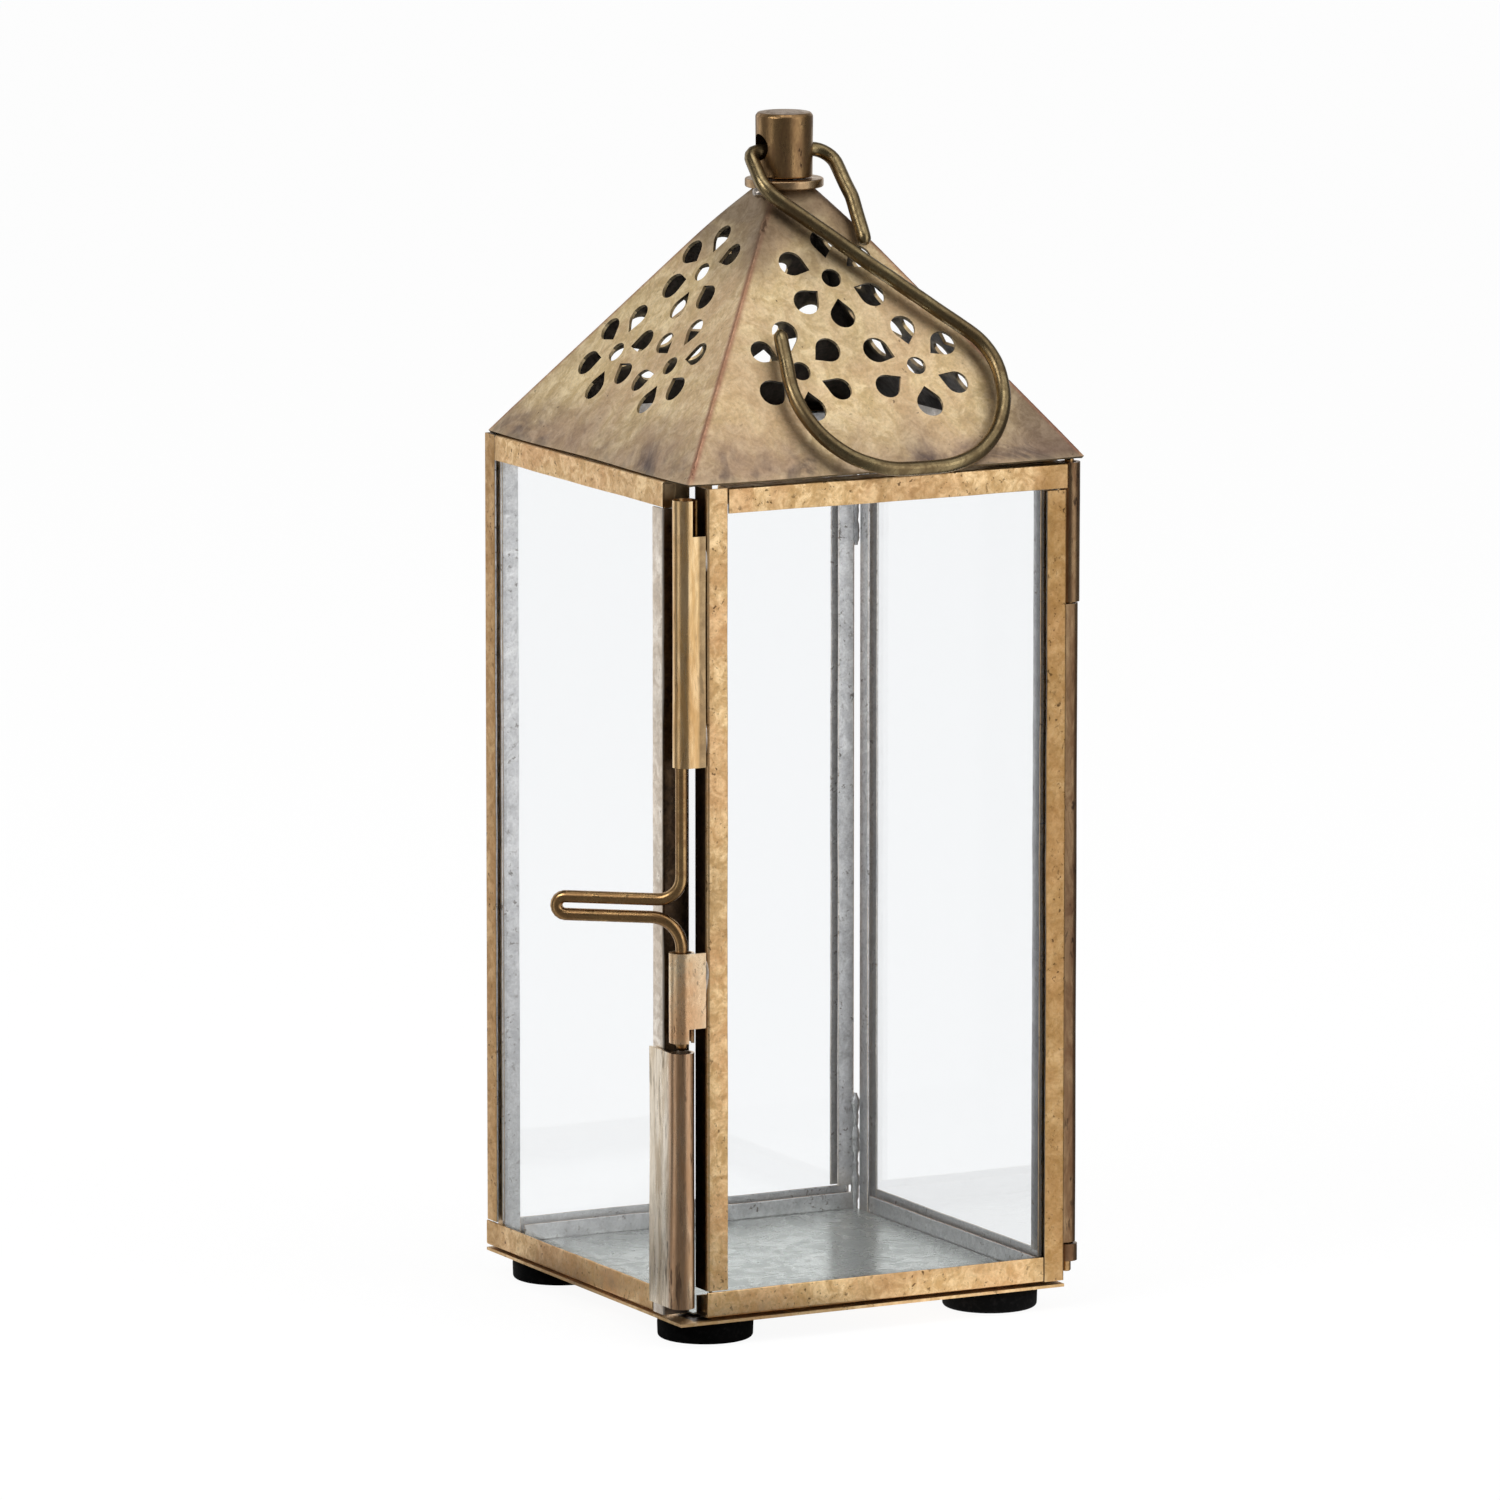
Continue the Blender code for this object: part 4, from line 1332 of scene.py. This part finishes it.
@dataclass
class Latch:
    """The slide bolt, its two sleeves on the door and its socket."""

    axis: tuple[float, float] = (-43.4 * MM, -42.2 * MM)
    wire: float = 1.3 * MM
    wall: float = 0.6 * MM
    arms: tuple[float, float] = (85.2 * MM, 88.9 * MM)
    bends: tuple[float, float] = (6.3 * MM, 4.9 * MM)
    reach: float = 26.2 * MM
    heading: float = math.radians(141.3)

    def bolt(self) -> Object:
        """Bend the bolt's wire: down, out to a hairpin, back and down again."""
        low, high = node_box("latch_bolt")
        stem = np.array([*self.axis, 0.0])
        up = np.array([0.0, 0, 1])
        out = np.array([math.cos(self.heading), math.sin(self.heading), 0]) * self.reach
        low_arm, high_arm = self.arms
        hairpin = (high_arm - low_arm) / 2 * 0.999
        path = rounded_path(
            [
                (stem + up * high[2], 0),
                (stem + up * high_arm, self.bends[1]),
                (stem + up * high_arm + out, hairpin),
                (stem + up * low_arm + out, hairpin),
                (stem + up * low_arm, self.bends[0]),
                (stem + up * low[2], 0),
            ]
        )
        level = np.cross(up, out / self.reach)
        return bent_wire("latch_bolt_wire", spaced(path, 0.7 * MM), self.wire, level, 0.0)

    def build(self, paints: Paintbox) -> None:
        """Make and dress the latch."""
        bolt = paints.dress(self.bolt(), GOLD_WIRE)
        settle(bolt, Body.BOLT, ("latch_bolt",))
        upper = RolledTube(
            "latch_upper_sleeve",
            Body.DOOR,
            0.4 * MM,
            0,
            1,
            -1,
            notch_high=7.4 * MM,
            shift=0.85 * MM,
        )
        lower = RolledTube(
            "latch_lower_sleeve", Body.DOOR, self.wall, 0, 1, -1, notch_low=3.0 * MM
        )
        socket = RolledTube("latch_socket", Body.LANTERN, self.wall, 1, 1, -1)
        upper.build(paints, TUBE_BRASS)
        lower.build(paints, BLOTCHED_BRASS)
        socket.build(paints, SOCKET_BRASS)


@dataclass
class DoorHinge:
    """The door's long barrel, the frame's knuckle and eye, and the pin."""

    wall: float = 0.5 * MM

    def build(self, paints: Paintbox) -> None:
        """Make and dress the hinge."""
        barrel = RolledTube("door_hinge_barrel", Body.DOOR, self.wall, 0, -1, -1)
        knuckle = RolledTube("frame_hinge_knuckle", Body.LANTERN, 0.8 * MM, 1, 1, -1)
        eye = RolledTube("frame_hinge_eye", Body.LANTERN, 0.8 * MM, 1, 1, -1)
        for tube in (barrel, knuckle, eye):
            tube.build(paints, HINGE_BRASS)
        low, high = node_box("hinge_pin")
        radius = (high[0] - low[0]) / 2
        profile = [(ON_AXIS, high[2], 0), (radius, high[2], 0.4 * MM)]
        profile += [(radius, low[2], 0.4 * MM), (ON_AXIS, low[2], 0)]
        pin = turned("hinge_pin_turned", (low + high) / 2, profile, 32)
        settle(paints.dress(pin, GOLD_WIRE), Body.LANTERN, ("hinge_pin",))


@dataclass
class SolderWork:
    """Blobs and seams of solder at the joints."""

    rng: np.random.Generator = field(default_factory=lambda: np.random.default_rng(SEED + 1))

    def blob(self, name: str, at: Sequence[float], size: Sequence[float]) -> Object:
        """Return one lump: a ball squeezed to its size, its radius wavering round it."""
        tall = np.linspace(0, math.pi, 18)[1:-1]
        turns = np.linspace(0, TURN, 28, endpoint=False)
        phase = self.rng.uniform(0, TURN, 4)
        polar, turn = np.meshgrid(tall, turns, indexing="ij")
        wave = np.sin(2 * turn + phase[0]) * np.sin(2 * polar + phase[1])
        wave = wave + 0.6 * np.sin(3 * turn + phase[2]) * np.sin(4 * polar + phase[3])
        radius = 1 + 0.10 * wave
        shape = np.stack(
            [np.sin(polar) * np.cos(turn), np.sin(polar) * np.sin(turn), np.cos(polar)], -1
        )
        points = np.array(at) + shape * radius[..., None] * np.array(size)
        return loft(name, points)

    def seam(
        self, name: str, start: Sequence[float], end: Sequence[float], thick: float
    ) -> Object:
        """Return a run of solder: a lumpy rod between two points, thin at its ends."""
        start, end = np.array(start), np.array(end)
        run = np.linspace(0, 1, 60)
        path = start + run[:, None] * (end - start)
        along = (end - start) / np.linalg.norm(end - start)
        side = np.cross(along, (0.3, 0.9, 0.31))
        side /= np.linalg.norm(side)
        over = np.cross(along, side)
        length = np.linalg.norm(end - start)
        girth = thick * (1 + wobble(run * length, 9 * MM, 0.35, float(self.rng.uniform(0, 6))))
        girth = girth * np.clip(np.sin(math.pi * run) * 6, 0.25, 1) ** 0.5
        turns = np.linspace(0, TURN, 16, endpoint=False)
        ring = side * np.cos(turns)[:, None] + over * np.sin(turns)[:, None]
        return loft(name, path[:, None] + girth[:, None, None] * ring[None])

    def cap(self) -> Object:
        """Return the flat tab that closes the top rail's end beside the door."""
        rail_low, rail_high = node_box("left_top_rail")
        left, right = rail_low[0] + 0.5 * MM, node_box("left_front_stile")[1][0] + 1.0 * MM
        low, high = rail_low[2] - 0.2 * MM, rail_high[2] - 0.1 * MM
        outline = np.array([(left, low), (right, low), (right, high), (left, high)])
        outline = rounded_outline(outline, [0.2 * MM] * 4)
        rings = np.zeros((2, len(outline), 3))
        rings[..., 0], rings[..., 2] = outline[:, 0], outline[:, 1]
        rings[..., 1] = rail_low[1] + np.array([[0.02], [0.5]]) * MM
        return loft("corner_cap", rings)

    def build(self, paints: Paintbox) -> None:
        """Place and dress the solder."""
        # The corner cap sits in the door gap, where the painted gap shade of its brass darkens its
        # front face.
        settle(paints.dress(self.cap(), BRASS), Body.LANTERN)
        upper_low, upper_high = node_box("latch_upper_sleeve")
        lower_low, lower_high = node_box("latch_lower_sleeve")
        washer_low = node_box("stud_washer")[0]
        door_x = node_box("door_latch_stile")[0][0]
        upper_web = (door_x, upper_low[1] + 0.55 * MM)
        lower_web = (door_x, lower_low[1] + 0.5 * MM)
        beside_washer = washer_low + np.array([0.6, 4.6, -0.5]) * MM
        lumps = (
            ("sleeve", (*upper_web, upper_high[2] - 12.5 * MM), (0.9, 0.5, 2.2)),
            ("sleeve_low", (*upper_web, upper_low[2] + 6 * MM), (0.8, 0.45, 3.0)),
            ("lower_sleeve", (*lower_web, lower_high[2] - 5 * MM), (1.0, 0.55, 3.4)),
            ("roof_lip", beside_washer, (1.6, 1.5, 1.1)),
        )
        for name, at, size in lumps:
            piece = self.blob(f"solder_{name}", at, np.array(size) * MM)
            body = Body.LANTERN if name == "roof_lip" else Body.DOOR
            settle(paints.dress(piece, SOLDER), body)
        stile_low, stile_high = node_box("back_right_stile")
        corner = (stile_high[0] + 0.25 * MM, stile_low[1] + 0.2 * MM)
        foot = node_box("floor_sheet")[1][2] - 1.2 * MM
        seams = (
            ("corner_low", foot, 26.8 * MM, 0.85 * MM),
            ("corner_high", 145.6 * MM, stile_high[2] - 0.5 * MM, 0.7 * MM),
        )
        for name, start, end, thick in seams:
            piece = self.seam(f"solder_{name}", (*corner, start), (*corner, end), thick)
            settle(paints.dress(piece, DULL_SOLDER), Body.LANTERN)


@dataclass
class Studio:
    """White floor and backdrop, soft lights, and the camera."""

    azimuth: float = math.radians(-27.536)
    elevation: float = 9.393
    distance: float = 2.671
    aim: tuple[float, float, float] = (-3.6 * MM, 3.8 * MM, 110.3 * MM)
    lens: float = 306.5
    card: float = 0.13
    paper_glow: float = 0.93
    panels: tuple = (
        (55.0, -8.0, 30.0, 0.95),
        (-125.0, -6.0, 28.0, 0.80),
        (-134.0, 26.0, 28.0, 0.72),
        (76.0, 53.0, 34.0, 0.95),
        (-58.0, 4.0, 16.0, 0.60),
        (168.0, 14.0, 34.0, 0.55),
    )

    def floor(self) -> None:
        """Lay the floor and turn it up behind: a quarter circle joins two flat runs."""
        turns = np.linspace(0, math.pi / 2, 24)
        bend = 0.6
        y = np.concatenate([[-3.2], 2.6 + bend * np.sin(turns), [2.6 + bend]])
        z = np.concatenate([[0.0], bend * (1 - np.cos(turns)), [3.2]])
        x = np.linspace(-3.2, 3.2, 12)
        across = np.array([math.cos(self.azimuth), math.sin(self.azimuth)])
        away = np.array([-math.sin(self.azimuth), math.cos(self.azimuth)])
        points = np.zeros((len(y), len(x), 3))
        points[..., :2] = y[:, None, None] * away + x[None, :, None] * across
        points[..., 2] = FLOOR_Z + z[:, None]
        quads = grid_quads(len(y), len(x))[:, ::-1]
        sweep = skin("studio_floor", points.reshape(-1, 3), quads.tolist())
        paper, graph, shader = new_material("white_paper")
        toward = graph.add("VectorMath", {0: graph.place()}, operation="NORMALIZE").outputs[0]
        inputs = {
            "Base Color": (0.10, 0.10, 0.10, 1),
            "Roughness": 0.9,
            "Specular IOR Level": 0.0,
            "Emission Color": (1, 1, 1, 1),
            "Emission Strength": self.glow(graph, toward, self.paper_glow),
        }
        graph.feed(shader, inputs)
        sweep.data.materials.append(paper)

    def outward(self, turn: float, rise: float) -> Vector:
        """Return the unit vector at a turn from the camera's side and a rise, in degrees."""
        bearing, tilt = self.azimuth + math.radians(turn), math.radians(rise)
        level = math.cos(tilt)
        return Vector((math.sin(bearing) * level, -math.cos(bearing) * level, math.sin(tilt)))

    def hang(self, made: Object, out: Vector, far: float) -> None:
        """Put a lamp or the camera out from the lantern, looking back at it."""
        bpy.context.collection.objects.link(made)
        made.location = Vector(self.aim) + out * far
        made.rotation_euler = out.to_track_quat("Z", "Y").to_euler()

    def light(self, name: str, turn: float, rise: float, far: float, size: float, power: float):
        """Hang one soft square light, given by its direction from the lantern."""
        lamp = bpy.data.lights.new(name, "AREA")
        lamp.size = size
        lamp.energy = power
        self.hang(bpy.data.objects.new(name, lamp), self.outward(turn, rise), far)

    def glow(self, graph: Graph, toward: Socket, seen_white: float) -> Socket:
        """Return how brightly the studio shines back in a direction.

        It is a base grey plus one soft lobe for each panel, eased up as the direction's dot
        product with the panel's own nears one. What is seen directly or through the panes is
        plain white instead.

        Args:
            graph: The tree to build in.
            toward: Unit vector from the lantern.
            seen_white: Brightness of what is seen directly.

        Returns:
            The brightness socket.
        """
        light = 0.0
        for turn, rise, wide, strength in self.panels:
            axis = self.outward(turn, rise)
            near = graph.add("VectorMath", {0: toward, 1: axis}, operation="DOT_PRODUCT")
            rim = math.cos(math.radians(wide))
            lobe = graph.ramp(near.outputs["Value"], rim, 1 - (1 - rim) * 0.3)
            light = graph.plus(graph.times(lobe, strength), light)
        light = graph.plus(light, self.card)
        path = graph.add("LightPath").outputs
        seen = graph.math("MAXIMUM", path["Is Camera Ray"], path["Is Transmission Ray"])
        limits = {"Value": seen, "To Min": light, "To Max": seen_white}
        return graph.add("MapRange", limits).outputs[0]

    def sky(self) -> None:
        """Surround the stage with grey card and soft bright panels."""
        world = bpy.data.worlds.new("studio")
        world.use_nodes = True
        graph = Graph(world.node_tree)
        shader = world.node_tree.nodes["Background"]
        toward = graph.add("TexCoord").outputs["Generated"]
        world.node_tree.links.new(self.glow(graph, toward, 1.0), shader.inputs["Strength"])
        shader.inputs["Color"].default_value = (1, 1, 1, 1)
        bpy.context.scene.world = world

    def build(self) -> None:
        """Set the stage."""
        self.floor()
        self.sky()
        self.light("key", -48, 38, 1.6, 0.7, 9)
        self.light("fill", 55, 24, 1.8, 1.0, 5)
        self.light("top", 10, 80, 1.7, 0.8, 5)
        lens = bpy.data.cameras.new("camera")
        lens.lens = self.lens
        lens.sensor_width = 36
        lens.clip_end = 20
        camera = bpy.data.objects.new("camera", lens)
        self.hang(camera, self.outward(0, self.elevation), self.distance)
        bpy.context.scene.camera = camera
        bpy.context.scene.view_settings.view_transform = "Standard"


def main() -> None:
    Studio().build()
    paints = Paintbox()
    Base().build(paints)
    for side, stiles, body in (
        ("left", ("front_stile", "rear_stile"), Body.LANTERN),
        ("right", ("front_stile", "rear_stile"), Body.LANTERN),
        ("back", ("left_stile", "right_stile"), Body.LANTERN),
        ("door", ("latch_stile", "hinge_stile"), Body.DOOR),
    ):
        GlazedPanel(side, (*stiles, "top_rail", "bottom_rail"), body).build(paints)
    DoorHinge().build(paints)
    Latch().build(paints)
    PunchedRoof().build(paints)
    Finial().build(paints)
    WireHook().build(paints)
    SolderWork().build(paints)


if __name__ == "__main__":
    main()
